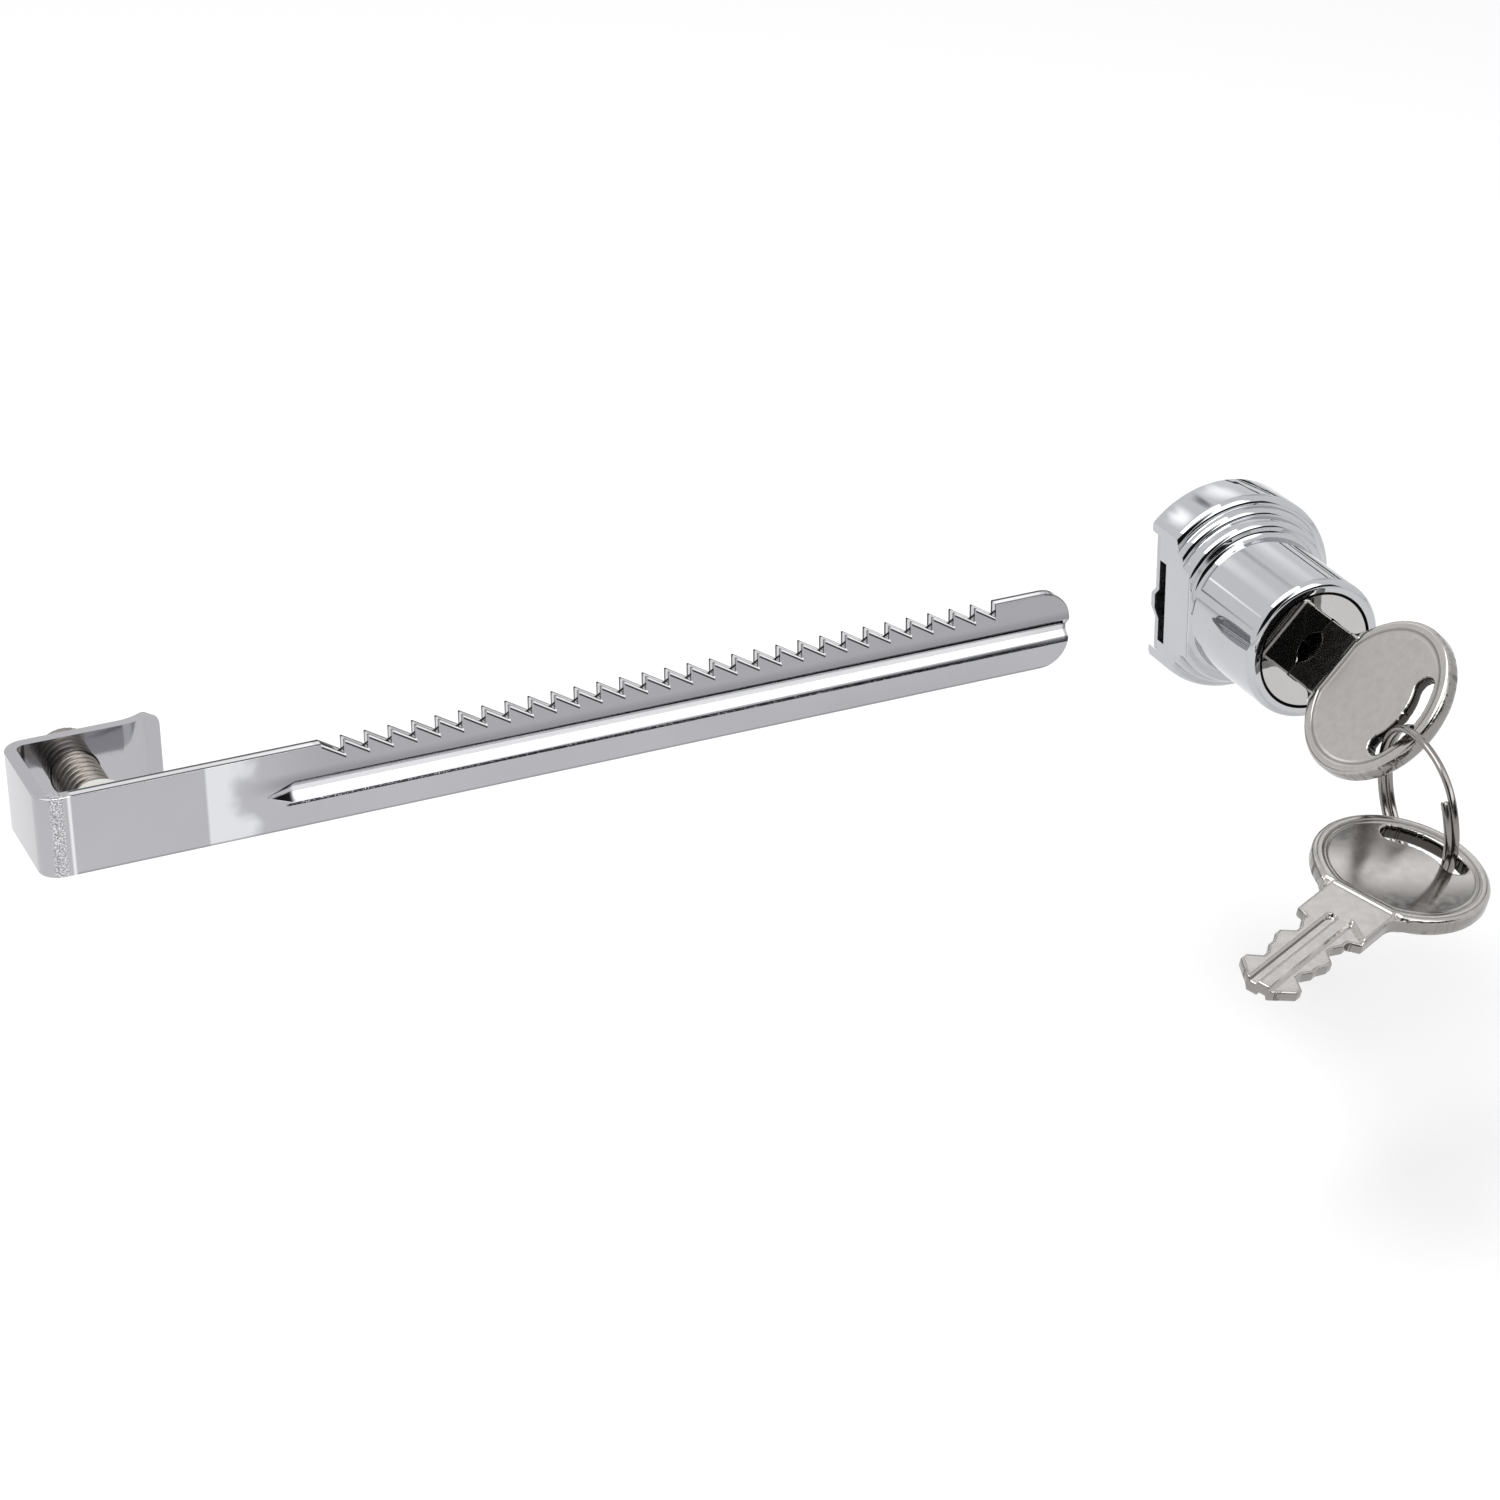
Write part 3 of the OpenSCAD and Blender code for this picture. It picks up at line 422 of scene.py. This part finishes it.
# %% Where the rounds differ
bar_end, groove_z, groove_reach = 133.7, -0.4, 1.7


def bar_rounds(x, y, z):
    """Edge rounds of the bar: a press round along the groove's lips, fine at its pointed start and its floor,
    a plating round on the strip's front and outer edges, a small one on the teeth, and none across the
    groove's open end."""
    fine, upper_lip, lower_lip, tooth, outline = 0.03, 0.1, 0.22, 0.07, 0.16
    in_groove = (np.abs(z - groove_z) < groove_reach) & (y < -0.3) & (x > 20) & (x < bar_end)
    at_teeth = (z > 3.4) & (x > 27) & (x < 123)
    lips = np.where((x < 23.7) | (y > -1.0), fine, np.where(z > 0.9, upper_lip, lower_lip))
    open_end = (x > bar_end) & (y > -1.55)
    return np.where(open_end, 0, np.where(in_groove, lips, np.where(at_teeth, tooth, outline)))


def rear_of_strip(face):
    """The strip's flat rear face, which lies in the plane y = 0."""
    return face.normal.y > 0.999 and abs(face.calc_center_median().y) < 0.01 * mm


def housing_rounds(x, y, z):
    """Edge rounds of the cast body: finer where the flat cuts a step at a narrow angle."""
    return np.where((x < 149.4) & (y > -9.8) & (y < -7.9), 0.03, 0.12)


eased_pieces = [
    eased("ratchet_bar", "bar", bar_chrome, bar_rounds, merge_mm=0.03,
          plain=rear_of_strip),
    eased("pressure_pad", "pad", pad_nylon, 0.3),
    eased("lock_housing", "lock", lock_chrome, housing_rounds),
    eased("rear_plate", "lock", sheet_zinc, 0.08),
    eased("plate_rivets", "lock", sheet_zinc, 0.2),
    eased("plug", "plug", plug_chrome, 0.06),
    eased("drive_cam", "plug", ground_steel, 0.03),
]
print("eased:", {p.name: len(p.data.polygons) for p in eased_pieces})

# %% [markdown]
# The keys
#
# A key starts as a stamped blank: a round bow with a raised rim and a slot, a flared neck, and a blade with
# two milled grooves on each side and a row of cuts on both edges. A blank is flat, so it suits a height
# field: over a grid in the key's own plane, a signed distance says how far each point is inside the
# outline, and the height of either side follows from that. Rounded edges, the flare between bow and neck
# and the grooves' round ends all come from the same distances, which a bevel could not give.

# %% The outline of a key
bow_r, chord_v, rim_width, rim_step, flare_width = 11.45, 10.0, 1.5, 0.8, 2.6
neck_half, blade_from, tip_v, tip_half = 4.7, 6, 35.8, 1.6
first_cut, cut_pitch, cut_flat, cut_lead = 19.6, 2.6, 0.55, 1.4
cuts = [3.1, 2.4, 3.85, 3.25, 2.5, 4.1]
slot_bend, slot_mid, slot_half, slot_reach = 8.5, 7.35, 1.55, radians(32.8)


def bow_distance(u, v, inset=0, chord=chord_v):
    """Signed distance to a disc cut by a straight chord: the larger of the two distances."""
    return np.maximum(np.hypot(u, v) - (bow_r - inset), v - chord)


def field_distance(u, v):
    """Signed distance to the bow's field, which lies inside its rim."""
    return bow_distance(u, v, rim_width, chord_v - rim_step)


def blade_distance(u, v, probe=0.05):
    """Signed distance to the blade: across it, the half width that runs straight from cut to cut, and along
    it the tip; the slope of the edge, measured over the probe, shortens the first."""
    places = [0, first_cut - cut_lead]
    widths = [neck_half, neck_half]
    for i, width in enumerate(cuts):
        places += [first_cut + i * cut_pitch - cut_flat, first_cut + i * cut_pitch + cut_flat]
        widths += [width, width]
    places, widths = places + [tip_v], widths + [tip_half]
    half = np.interp(v, places, widths)
    slope = (np.interp(v + probe, places, widths) - half) / probe
    return np.maximum((np.abs(u) - half) / np.sqrt(1 + slope ** 2), np.maximum(v - tip_v, blade_from - v))


def slot_distance(u, v):
    """Signed distance to the ring slot: distance to the nearest point of its bent middle line, less half its
    width."""
    centre = slot_bend - slot_mid
    a = np.clip(np.arctan2(u, centre - v), -slot_reach, slot_reach)
    return np.hypot(u - slot_bend * np.sin(a), v - centre + slot_bend * np.cos(a)) - slot_half


def key_distance(u, v):
    """Signed distance to the whole outline: bow and blade joined with a flare, less the slot."""
    bow, blade = bow_distance(u, v), blade_distance(u, v)
    flare = np.maximum(flare_width - np.abs(bow - blade), 0) / flare_width
    return np.maximum(np.minimum(bow, blade) - flare ** 2 * flare_width / 4, -slot_distance(u, v))


sample = 0.1
in_key = key_distance(*np.meshgrid(np.arange(-12, 12, sample), np.arange(-12, 36, sample))) < 0
print("key area in square mm:", round(float(in_key.sum() * sample ** 2), 1))

# %% The height of a key's side
bow_half, blade_step, field_depth, line_depth, dish_depth, dish_r_squared = 1.2, 0.2, 0.13, 0.11, 0.35, 95
ward_u, ward_v, ward_r, ward_depth = 0.75, 16.7, 0.65, 0.5
mill_u, mill_v, mill_depth = -1.4, 15.3, 0.6


def smooth(value, low, high):
    """Nought below low, one above high, with a smooth step between."""
    t = np.clip((value - low) / (high - low), 0, 1)
    return t * t * (3 - 2 * t)


def side_height(u, v):
    """Height of one side above the middle plane: bow or blade thickness, less the field inside the rim and
    the fine line round it, the bow's shallow dish, the edge rounds, and the two grooves."""
    bow, blade, field = bow_distance(u, v), blade_distance(u, v), field_distance(u, v)
    on_blade = smooth(bow, -0.15, 0.35)
    height = bow_half - blade_step * on_blade
    height -= field_depth * smooth(-field, -0.05, 0.5) + line_depth * np.exp(-(field / 0.14) ** 2) * (bow < 0.2)
    height -= dish_depth * np.clip(1 - (u ** 2 + v ** 2) / dish_r_squared, 0, 1)
    inside = -np.minimum(bow, blade)
    for depth, round_r in ((inside, 0.62 - 0.40 * on_blade), (slot_distance(u, v), 0.22)):
        near = np.clip(depth, 0, round_r)
        height -= round_r - np.sqrt(np.maximum(round_r ** 2 - (round_r - near) ** 2, 0))
    ward = np.hypot(u - ward_u, np.minimum(v - ward_v, 0)) - ward_r
    height -= ward_depth * smooth(-ward, 0, 0.2)
    mill = np.minimum(mill_u - u, (v - mill_v) * 0.8 - (mill_u - u) * 0.6)
    height -= mill_depth * smooth(mill, 0, 0.16)
    return height


print("half thickness at the bow's middle in mm:", round(float(side_height(0.0, 0.0)), 2))

# %% Fit a grid to the outline
grid, blank_half, blank_top, nudge = 0.15, 11.7, 36.3, 0.01
near_edge = 0.62 * grid
u, v = np.meshgrid(np.arange(-blank_half, blank_half + nudge, grid), np.arange(-blank_half, blank_top, grid))
gap = key_distance(u, v)
snapped, kept = np.abs(gap) < near_edge, gap < near_edge
# Points near the outline move onto it along the steepest way, in three steps
for _ in range(3):
    gap = key_distance(u, v)
    du = (key_distance(u + nudge, v) - key_distance(u - nudge, v)) / (2 * nudge)
    dv = (key_distance(u, v + nudge) - key_distance(u, v - nudge)) / (2 * nudge)
    pull = np.where(snapped, gap / np.maximum(du ** 2 + dv ** 2, 0.25), 0)
    u, v = u - pull * du, v - pull * dv
cells = kept[:-1, :-1] & kept[1:, :-1] & kept[1:, 1:] & kept[:-1, 1:]
index = np.arange(u.size).reshape(u.shape)
quads = np.stack([index[:-1, :-1], index[:-1, 1:], index[1:, 1:], index[1:, :-1]], axis=-1)[cells]
# An edge of the outline belongs to one quad alone
edges = np.concatenate([quads[:, [i, (i + 1) % 4]] for i in range(4)])
edge_codes = np.sort(edges, axis=1) @ np.array([u.size, 1])
_, first, count = np.unique(edge_codes, return_index=True, return_counts=True)
used = np.unique(quads)
place_of = np.zeros(u.size, int)
place_of[used] = np.arange(used.size)
rim = place_of[edges[first[count == 1]]]
print("quads on a side:", len(quads), "edges of the outline:", len(rim))

# %% Both sides of a key
flat_u, flat_v = u.ravel()[used], v.ravel()[used]
front, back_side = side_height(u, v).ravel()[used], -side_height(-u, v).ravel()[used]
key_points = np.concatenate([np.column_stack([flat_u, flat_v, front]),
                             np.column_stack([flat_u, flat_v, back_side])])
below = used.size
key_faces = np.concatenate([place_of[quads], place_of[quads][:, ::-1] + below,
                            np.column_stack([rim[:, 1], rim[:, 0], rim[:, 0] + below, rim[:, 1] + below])])
# Painted shade: the key is darkened in the fine line, along the outline and most of all in the slot
fine_line = np.exp(-(field_distance(flat_u, flat_v) / 0.16) ** 2) * (bow_distance(flat_u, flat_v) < 0)
on_rim = np.isin(np.arange(used.size), rim)
in_slot = on_rim & (slot_distance(flat_u, flat_v) < 0.3)
key_shade = np.maximum(0.6 * fine_line, np.where(in_slot, 1.0, 0.4 * on_rim))
key_shade_input = add_node(key_nickel.node_tree, "ShaderNodeAttribute", {"attribute_name": "key_shade"})
paint(key_nickel, key_parts, [key_shade_input], "#45423f")
print("faces of a key:", len(key_faces))

# %% Strike the two keys
keyway_turn = (0, -46, 0)


def turned_xyz(points, degrees):
    """Turns points about X, then Y, then Z, as the solids are placed."""
    ax, ay, az = np.radians(degrees)
    rx = np.array([[1, 0, 0], [0, np.cos(ax), -np.sin(ax)], [0, np.sin(ax), np.cos(ax)]])
    ry = np.array([[np.cos(ay), 0, np.sin(ay)], [0, 1, 0], [-np.sin(ay), 0, np.cos(ay)]])
    rz = np.array([[np.cos(az), -np.sin(az), 0], [np.sin(az), np.cos(az), 0], [0, 0, 1]])
    return points @ (rz @ ry @ rx).T


def struck_key(name, node, body, turn_deg, centre_mm):
    """One key: the shared points turned and moved to where its solid lies."""
    mesh = bpy.data.meshes.new(name)
    placed = (turned_xyz(key_points, turn_deg) + np.array(centre_mm)) * mm
    mesh.from_pydata(placed.tolist(), [], key_faces.tolist())
    mesh.shade_smooth()
    mesh.set_sharp_from_angle(angle=radians(60))
    mesh.materials.append(key_nickel)
    # The painted shade's weights, the same on both sides of a key
    key_shade_layer = mesh.attributes.new("key_shade", "FLOAT", "POINT")
    key_shade_layer.data.foreach_set("value", np.tile(key_shade, 2).astype(np.float32))
    piece = put(name, mesh)
    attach(piece, body)
    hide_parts(node)
    return piece


keys = [struck_key("key_struck", "key", "key", keyway_turn, (158.6, -40.6, 1.2)),
        struck_key("spare_key_struck", "spare_key", "spare", (1.3374, -12.1842, 119.6517),
                   (146.8201, -65.3326, -9.2545))]
print("keys:", [k.name for k in keys])

# %% [markdown]
# Surfaces from a grid
#
# The screw and the wires are surfaces of two parameters. Each is worked out as whole numpy arrays of
# points, one row for each station along the piece and one column for each step round it, and the grid is
# put into a mesh with a flat cap at either end.

# %% Put a closed tube into a mesh
def tube(name, rows, body, finish, nodes):
    """Rows of points, each row once round the piece: neighbours in both directions make the quads, the last
    column meets the first, and the first and last rows are capped."""
    stations, sides = rows.shape[:2]
    j = np.arange(sides)
    i = np.arange(stations - 1)[:, None] * sides
    k = (j + 1) % sides
    quads = np.stack([i + j, i + sides + j, i + sides + k, i + k], axis=-1).reshape(-1, 4).tolist()
    caps = [j.tolist(), ((stations - 1) * sides + j[::-1]).tolist()]
    mesh = bpy.data.meshes.new(name)
    mesh.from_pydata((rows.reshape(-1, 3) * mm).tolist(), [], quads + caps)
    form = bmesh.new()
    form.from_mesh(mesh)
    bmesh.ops.recalc_face_normals(form, faces=form.faces)
    form.to_mesh(mesh)
    form.free()
    mesh.shade_smooth()
    mesh.set_sharp_from_angle(angle=radians(50))
    mesh.materials.append(finish)
    piece = put(name, mesh)
    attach(piece, body)
    if nodes:
        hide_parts(*nodes)
    return piece


# %% [markdown]
# The clamp screw
#
# A screw through the hook's back leg presses the pad on the pane. Its thread is a ridge that climbs one
# pitch in each turn. A grid of turns and heights shows it well: the radius is a rounded ridge that depends
# on the height less the turn, so the crest follows a helix and no wire has to be wound.

# %% Turn the screw
thread_r, root_r, pitch = 3.15, 2.72, 1.27
spigot_y, pad_y, head_y = 2.9, 3.9, 16.6
screw_sides, screw_stations, knurls = 96, 161, 32


def threaded(y, turn_angle):
    """Radius of a rounded thread: root plus depth times a soft ridge of the phase 2 pi y/pitch + turn, run
    out to the root within about a third of a pitch from either end."""
    phase = 2 * pi * (y / pitch) + turn_angle
    ridge = smooth(0.5 + 0.62 * np.cos(phase), 0, 1)
    edge = np.clip(np.minimum(y - pad_y, head_y - y) / (0.35 * pitch), 0, 1)
    return root_r + (thread_r - root_r) * ridge * edge


def all_round(values):
    """Each station's value, once for every step round the screw."""
    return np.repeat(values[:, None], screw_sides, 1)


round_steps = np.linspace(0, 2 * pi, screw_sides, endpoint=False)
tip_y = np.array([spigot_y, spigot_y, spigot_y + 0.15, pad_y, pad_y])
tip_r = np.array([0.5, 1.35, 1.5, 1.5, 2.4])
shank_y = np.linspace(pad_y, head_y, screw_stations)
shank_r = threaded(shank_y[:, None], round_steps[None, :])
cap_y = np.array([0, 0.25, 0.45, 1.2, 2.3, 3.05, 3.3, 3.5, 3.5, 3.2, 3.2]) + head_y
cap_r = np.array([3.75, 3.95, 4.1, 4.1, 4.1, 4.1, 3.95, 3.7, 3.1, 2.9, 0.6])
knurl_depth = np.array([0, 0.05, 0.16, 0.2, 0.2, 0.16, 0.05, 0, 0, 0, 0])
knurl = 0.5 + 0.5 * np.cos(knurls * round_steps)
screw_y = np.concatenate([all_round(tip_y), all_round(shank_y), all_round(cap_y)])
screw_r = np.concatenate([all_round(tip_r), shank_r, cap_r[:, None] - knurl_depth[:, None] * knurl[None, :]])
screw_rows = np.stack([screw_r * np.cos(round_steps), screw_y, screw_r * np.sin(round_steps)], axis=-1)
screw = tube("clamp_screw_threaded", screw_rows, "screw", screw_steel, ["clamp_screw"])
print("screw turns:", round((head_y - pad_y) / pitch, 1), "faces:", len(screw.data.polygons))

# %% [markdown]
# The split ring and the wafer springs
#
# A split ring is spring wire wound twice into two flat layers, which lie against each other and cross from
# one to the other in a short step. The wafer springs are six small coils inside the plug. Both are a
# section carried along a path, with each station's outward and axial directions known beforehand.

# %% Wind the split ring
ring_r, ring_half, ring_layer, ring_sweep, ring_crossing = 9.95, 0.4, 1.24, 640, 80
ring_clear, ring_stations, ring_sides, blunt, end_size, end_reach = 0.03, 480, 24, 0.75, 0.72, 1.2
ring_centre = np.array([155.1763, -55.9544, -5.9317])
ring_turn = (-86.761, -30.1906, -99.0232)
swept = np.linspace(0, ring_sweep, ring_stations)
crossed = smooth((swept - ring_sweep / 2) / ring_crossing + 0.5, 0, 1)
low = -ring_layer / 2 - ring_half + crossed * (ring_layer / 2 + ring_half + ring_clear)
high = -ring_clear + crossed * (ring_layer / 2 + ring_half + ring_clear)
# The wire's section is a blunt round: cosine and sine to a power below one, with their signs kept
section = np.linspace(0, 2 * pi, ring_sides, endpoint=False)
blunt_x = np.sign(np.cos(section)) * np.abs(np.cos(section)) ** blunt
blunt_z = np.sign(np.sin(section)) * np.abs(np.sin(section)) ** blunt
ends = np.clip(np.minimum(swept, ring_sweep - swept) / end_reach, 0, 1)
ends = end_size + (1 - end_size) * np.sqrt(1 - (1 - ends) ** 2)
radial = ring_r + ring_half * ends[:, None] * blunt_x[None, :]
axial = ((low + high) / 2)[:, None] + ((high - low) / 2 * ends)[:, None] * blunt_z[None, :]
angle = np.radians(swept)[:, None]
ring_rows = np.stack([radial * np.cos(angle), radial * np.sin(angle), axial], axis=-1)
ring_rows = turned_xyz(ring_rows, ring_turn) + ring_centre
ring = tube("split_ring_wire", ring_rows, "ring", wire_steel, ["split_ring"])
print("ring wire length in mm:", round(np.radians(ring_sweep) * ring_r, 1), "faces:", len(ring.data.polygons))

# %% Wind the wafer springs
coil_r, coil_wire, coil_turns, coil_from, coil_to = 0.45, 0.1, 6, -2.2, 1.5
coil_off, first_coil, turn_stations, coil_sides = 3.7, -21.0, 24, 10
wound = np.linspace(0, 2 * pi * coil_turns, turn_stations * coil_turns + 1)[:, None]
wire_steps = np.linspace(0, 2 * pi, coil_sides, endpoint=False)[None, :]
out = coil_r + coil_wire * np.cos(wire_steps)
coil = np.stack([coil_from + (coil_to - coil_from) * wound / wound.max() + coil_wire * np.sin(wire_steps),
                 out * np.cos(wound), coil_off + out * np.sin(wound)], axis=-1)
for i in range(len(cuts)):
    placed = turned_xyz(coil + np.array([0, cut_pitch * i + first_coil, 0]), keyway_turn) + np.array(lock_axis)
    tube(f"wafer_spring_coil_{i + 1}", placed, "plug", wire_steel,
         ["wafer_springs"] if i == 0 else [])
print("coil pitch in mm:", round((coil_to - coil_from) / coil_turns, 3))

# %% [markdown]
# The pieces that stay as they are
#
# Some hidden pieces inside the lock keep the solids' own shapes: six wafers, the pawl and the pin. They only
# need the finish that the real ones have.

# %% Finish the inner pieces
inner = {"retaining_pin": ground_steel, "locking_pawl": ground_steel}
inner.update({f"wafer_{i}": stamped_brass for i in range(1, 7)})
for name, finish in inner.items():
    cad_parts[name].data.materials[0] = finish
print("inner pieces:", len(inner))

# %% [markdown]
# The table and the room
#
# The lock floats over a pale table in a white room, high enough for the keys to hang and swing clear of it.
# The table's surface is plain matt white with a little light of its own for the camera and for reflections,
# so it reads as white and still shows the soft shadow.

# %% Floor
floor_z, table_half, table_glow = -55.0, 2.5, 0.27


def seen_white(tree):
    """One for a ray from the camera, from a reflection or through a clear piece: the largest of the three."""
    path = add_node(tree, "ShaderNodeLightPath")
    either = add_node(tree, "ShaderNodeMath", {"operation": "MAXIMUM"},
                      {0: (path, "Is Camera Ray"), 1: (path, "Is Glossy Ray")})
    return add_node(tree, "ShaderNodeMath", {"operation": "MAXIMUM"},
                    {0: (either, 0), 1: (path, "Is Transmission Ray")})


floor_mesh = bpy.data.meshes.new("table_top")
floor_mesh.from_pydata([(a * table_half, b * table_half, floor_z * mm)
                        for a, b in ((-1, -1), (1, -1), (1, 1), (-1, 1))], [], [[0, 1, 2, 3]])
floor = put("table_top", floor_mesh)
table_white = bpy.data.materials.new("matt_white_table")
table_white.use_nodes = True
table_tree = table_white.node_tree
table_tree.nodes.remove(table_tree.nodes["Principled BSDF"])
own_light = add_node(table_tree, "ShaderNodeMath", {"operation": "MULTIPLY", 1: table_glow},
                     {0: (seen_white(table_tree), 0)})
matt = add_node(table_tree, "ShaderNodeBsdfDiffuse", {"Color": linear("#e6e6e6")})
glow = add_node(table_tree, "ShaderNodeEmission", {"Color": (1, 1, 1, 1)}, {"Strength": (own_light, 0)})
both = add_node(table_tree, "ShaderNodeAddShader", {}, {0: (matt, 0), 1: (glow, 0)})
table_tree.links.new(both.outputs[0], table_tree.nodes["Material Output"].inputs["Surface"])
floor_mesh.materials.append(table_white)
print("table at z in mm:", floor_z)

# %% World
room_light = 0.45
world = bpy.data.worlds.new("white_room")
bpy.context.scene.world = world
world.use_nodes = True
room = world.node_tree
room.nodes.remove(room.nodes["Background"])
dim = add_node(room, "ShaderNodeBackground", {"Color": (1, 1, 1, 1), "Strength": room_light})
white = add_node(room, "ShaderNodeBackground", {"Color": (1, 1, 1, 1), "Strength": 1.0})
walls = add_node(room, "ShaderNodeMixShader", {}, {0: (seen_white(room), 0), 1: (dim, 0), 2: (white, 0)})
room.links.new(walls.outputs[0], room.nodes["World Output"].inputs["Surface"])
print("room nodes:", len(room.nodes))

# %% [markdown]
# Cards and lamps
#
# Chrome has no look of its own: it shows the room. A photographer stands dark and bright cards around it,
# and so does this step; they are seen only in reflections. Two soft lamps give the pieces their light and
# the table its shadow.

# %% Cards
card_aim = (0.11, -0.02, 0.0)


def unit(vector):
    """The vector over its own length."""
    return vector / np.linalg.norm(vector)


def card(name, centre, across, tall, level_of_light, spin=0, soft=0.3):
    """A flat card that faces the lock: centre plus or minus half its width and height along two directions
    square to its facing, turned by spin degrees. Its light runs from its own level to the white of the room
    over the soft share of its width and height, and it shows in reflections alone."""
    centre = np.array(centre, float)
    toward = unit(np.array(card_aim) - centre)
    sideways = unit(np.cross([0, 0, 1.0], toward))
    upright = np.cross(toward, sideways)
    wide = np.cos(radians(spin)) * sideways + np.sin(radians(spin)) * upright
    high = np.cos(radians(spin)) * upright - np.sin(radians(spin)) * sideways
    corners = [centre + a * across / 2 * wide + b * tall / 2 * high
               for a, b in ((-1, -1), (1, -1), (1, 1), (-1, 1))]
    mesh = bpy.data.meshes.new(name)
    mesh.from_pydata([c.tolist() for c in corners], [], [[0, 1, 2, 3]])
    mesh.uv_layers.new(name="card").data.foreach_set("uv", [-1, -1, 1, -1, 1, 1, -1, 1])
    piece = put(name, mesh)
    surface = bpy.data.materials.new(name + "_paint")
    surface.use_nodes = True
    tree = surface.node_tree
    tree.nodes.remove(tree.nodes["Principled BSDF"])
    spot = add_node(tree, "ShaderNodeTexCoord")
    split = add_node(tree, "ShaderNodeSeparateXYZ", {}, {0: (spot, "UV")})
    fades = []
    for side_name in "XY":
        size = add_node(tree, "ShaderNodeMath", {"operation": "ABSOLUTE"}, {0: (split, side_name)})
        fades.append(add_node(tree, "ShaderNodeMapRange",
                              {"interpolation_type": "SMOOTHSTEP", "From Min": 1.0, "From Max": 1.0 - soft},
                              {"Value": (size, 0)}))
    fade = add_node(tree, "ShaderNodeMath", {"operation": "MULTIPLY"}, {0: (fades[0], 0), 1: (fades[1], 0)})
    level = add_node(tree, "ShaderNodeMapRange", {"To Min": 1.0, "To Max": level_of_light},
                     {"Value": (fade, 0)})
    paint_light = add_node(tree, "ShaderNodeEmission", {"Color": (1, 1, 1, 1)}, {"Strength": (level, 0)})
    tree.links.new(paint_light.outputs[0], tree.nodes["Material Output"].inputs["Surface"])
    mesh.materials.append(surface)
    piece.visible_camera = False
    piece.visible_diffuse = False
    piece.visible_shadow = False
    piece.visible_transmission = False
    return piece


cards = [
    card("dark_card_by_camera", (-0.50, -0.95, 0.66), 1.3, 1.2, 0.01, soft=0.15),
    card("dark_card_in_front", (0.50, -0.95, 0.24), 1.0, 0.42, 0.01, soft=0.2),
    card("bright_card_over_front", (0.44, -0.62, 0.95), 0.7, 0.5, 2.3),
    card("bright_card_behind", (0.60, 1.0, 0.68), 0.56, 0.46, 1.75, spin=-33, soft=0.9),
    card("grey_card_behind", (0.26, 1.0, 0.84), 0.20, 0.5, 0.35, soft=0.95),
    card("bright_strip_behind", (-0.16, 1.0, 0.76), 0.42, 0.5, 2.0, spin=23, soft=0.9),
    card("bright_line_behind", (-0.54, 1.0, 0.44), 0.05, 0.45, 2.0, spin=58),
    card("dark_line_left", (-0.60, 1.0, 0.16), 0.5, 0.05, 0.02, spin=-12),
    card("dark_line_right", (0.98, 1.0, 0.16), 0.5, 0.05, 0.02, spin=10),
    card("dark_line_far_right", (0.91, 1.0, 0.34), 0.5, 0.05, 0.02, spin=24),
    card("dark_horizon", (0.3, 1.3, 0.05), 2.6, 0.12, 0.03, soft=0.25),
    card("dark_card_right", (1.02, 0.69, 0.78), 0.42, 0.7, 0.08, spin=18.6, soft=0.4),
    card("bright_strip_right", (0.99, 0.67, 0.757), 0.10, 0.8, 1.9, spin=18.6, soft=0.5),
]
print("cards:", len(cards))

# %% Lamps
def lamp(name, place, aim, size, watts):
    """A square soft lamp at a place, turned to face a point."""
    light = bpy.data.lights.new(name, "AREA")
    light.size = size
    light.energy = watts
    piece = put(name, light)
    backward = unit(np.array(place, float) - np.array(aim, float))
    sideways = unit(np.cross([0, 1.0, 0.01], backward))
    frame_of = np.eye(4)
    frame_of[:3, 0], frame_of[:3, 1] = sideways, np.cross(backward, sideways)
    frame_of[:3, 2], frame_of[:3, 3] = backward, place
    piece.matrix_world = frame_of.T.tolist()
    return piece


lamps = [
    lamp("overhead_soft_lamp", (-0.15, 0.05, 1.1), (0.07, 0, 0), 0.9, 9.0),
    lamp("front_fill_lamp", (0.5, -1.0, 0.7), (0.1, 0, 0), 0.6, 2.5),
]
print("lamps:", len(lamps))

# %% [markdown]
# Finish
#
# The view transform is set to Standard so that a colour shows as it is written.

# %% Settings
bpy.context.scene.view_settings.view_transform = "Standard"
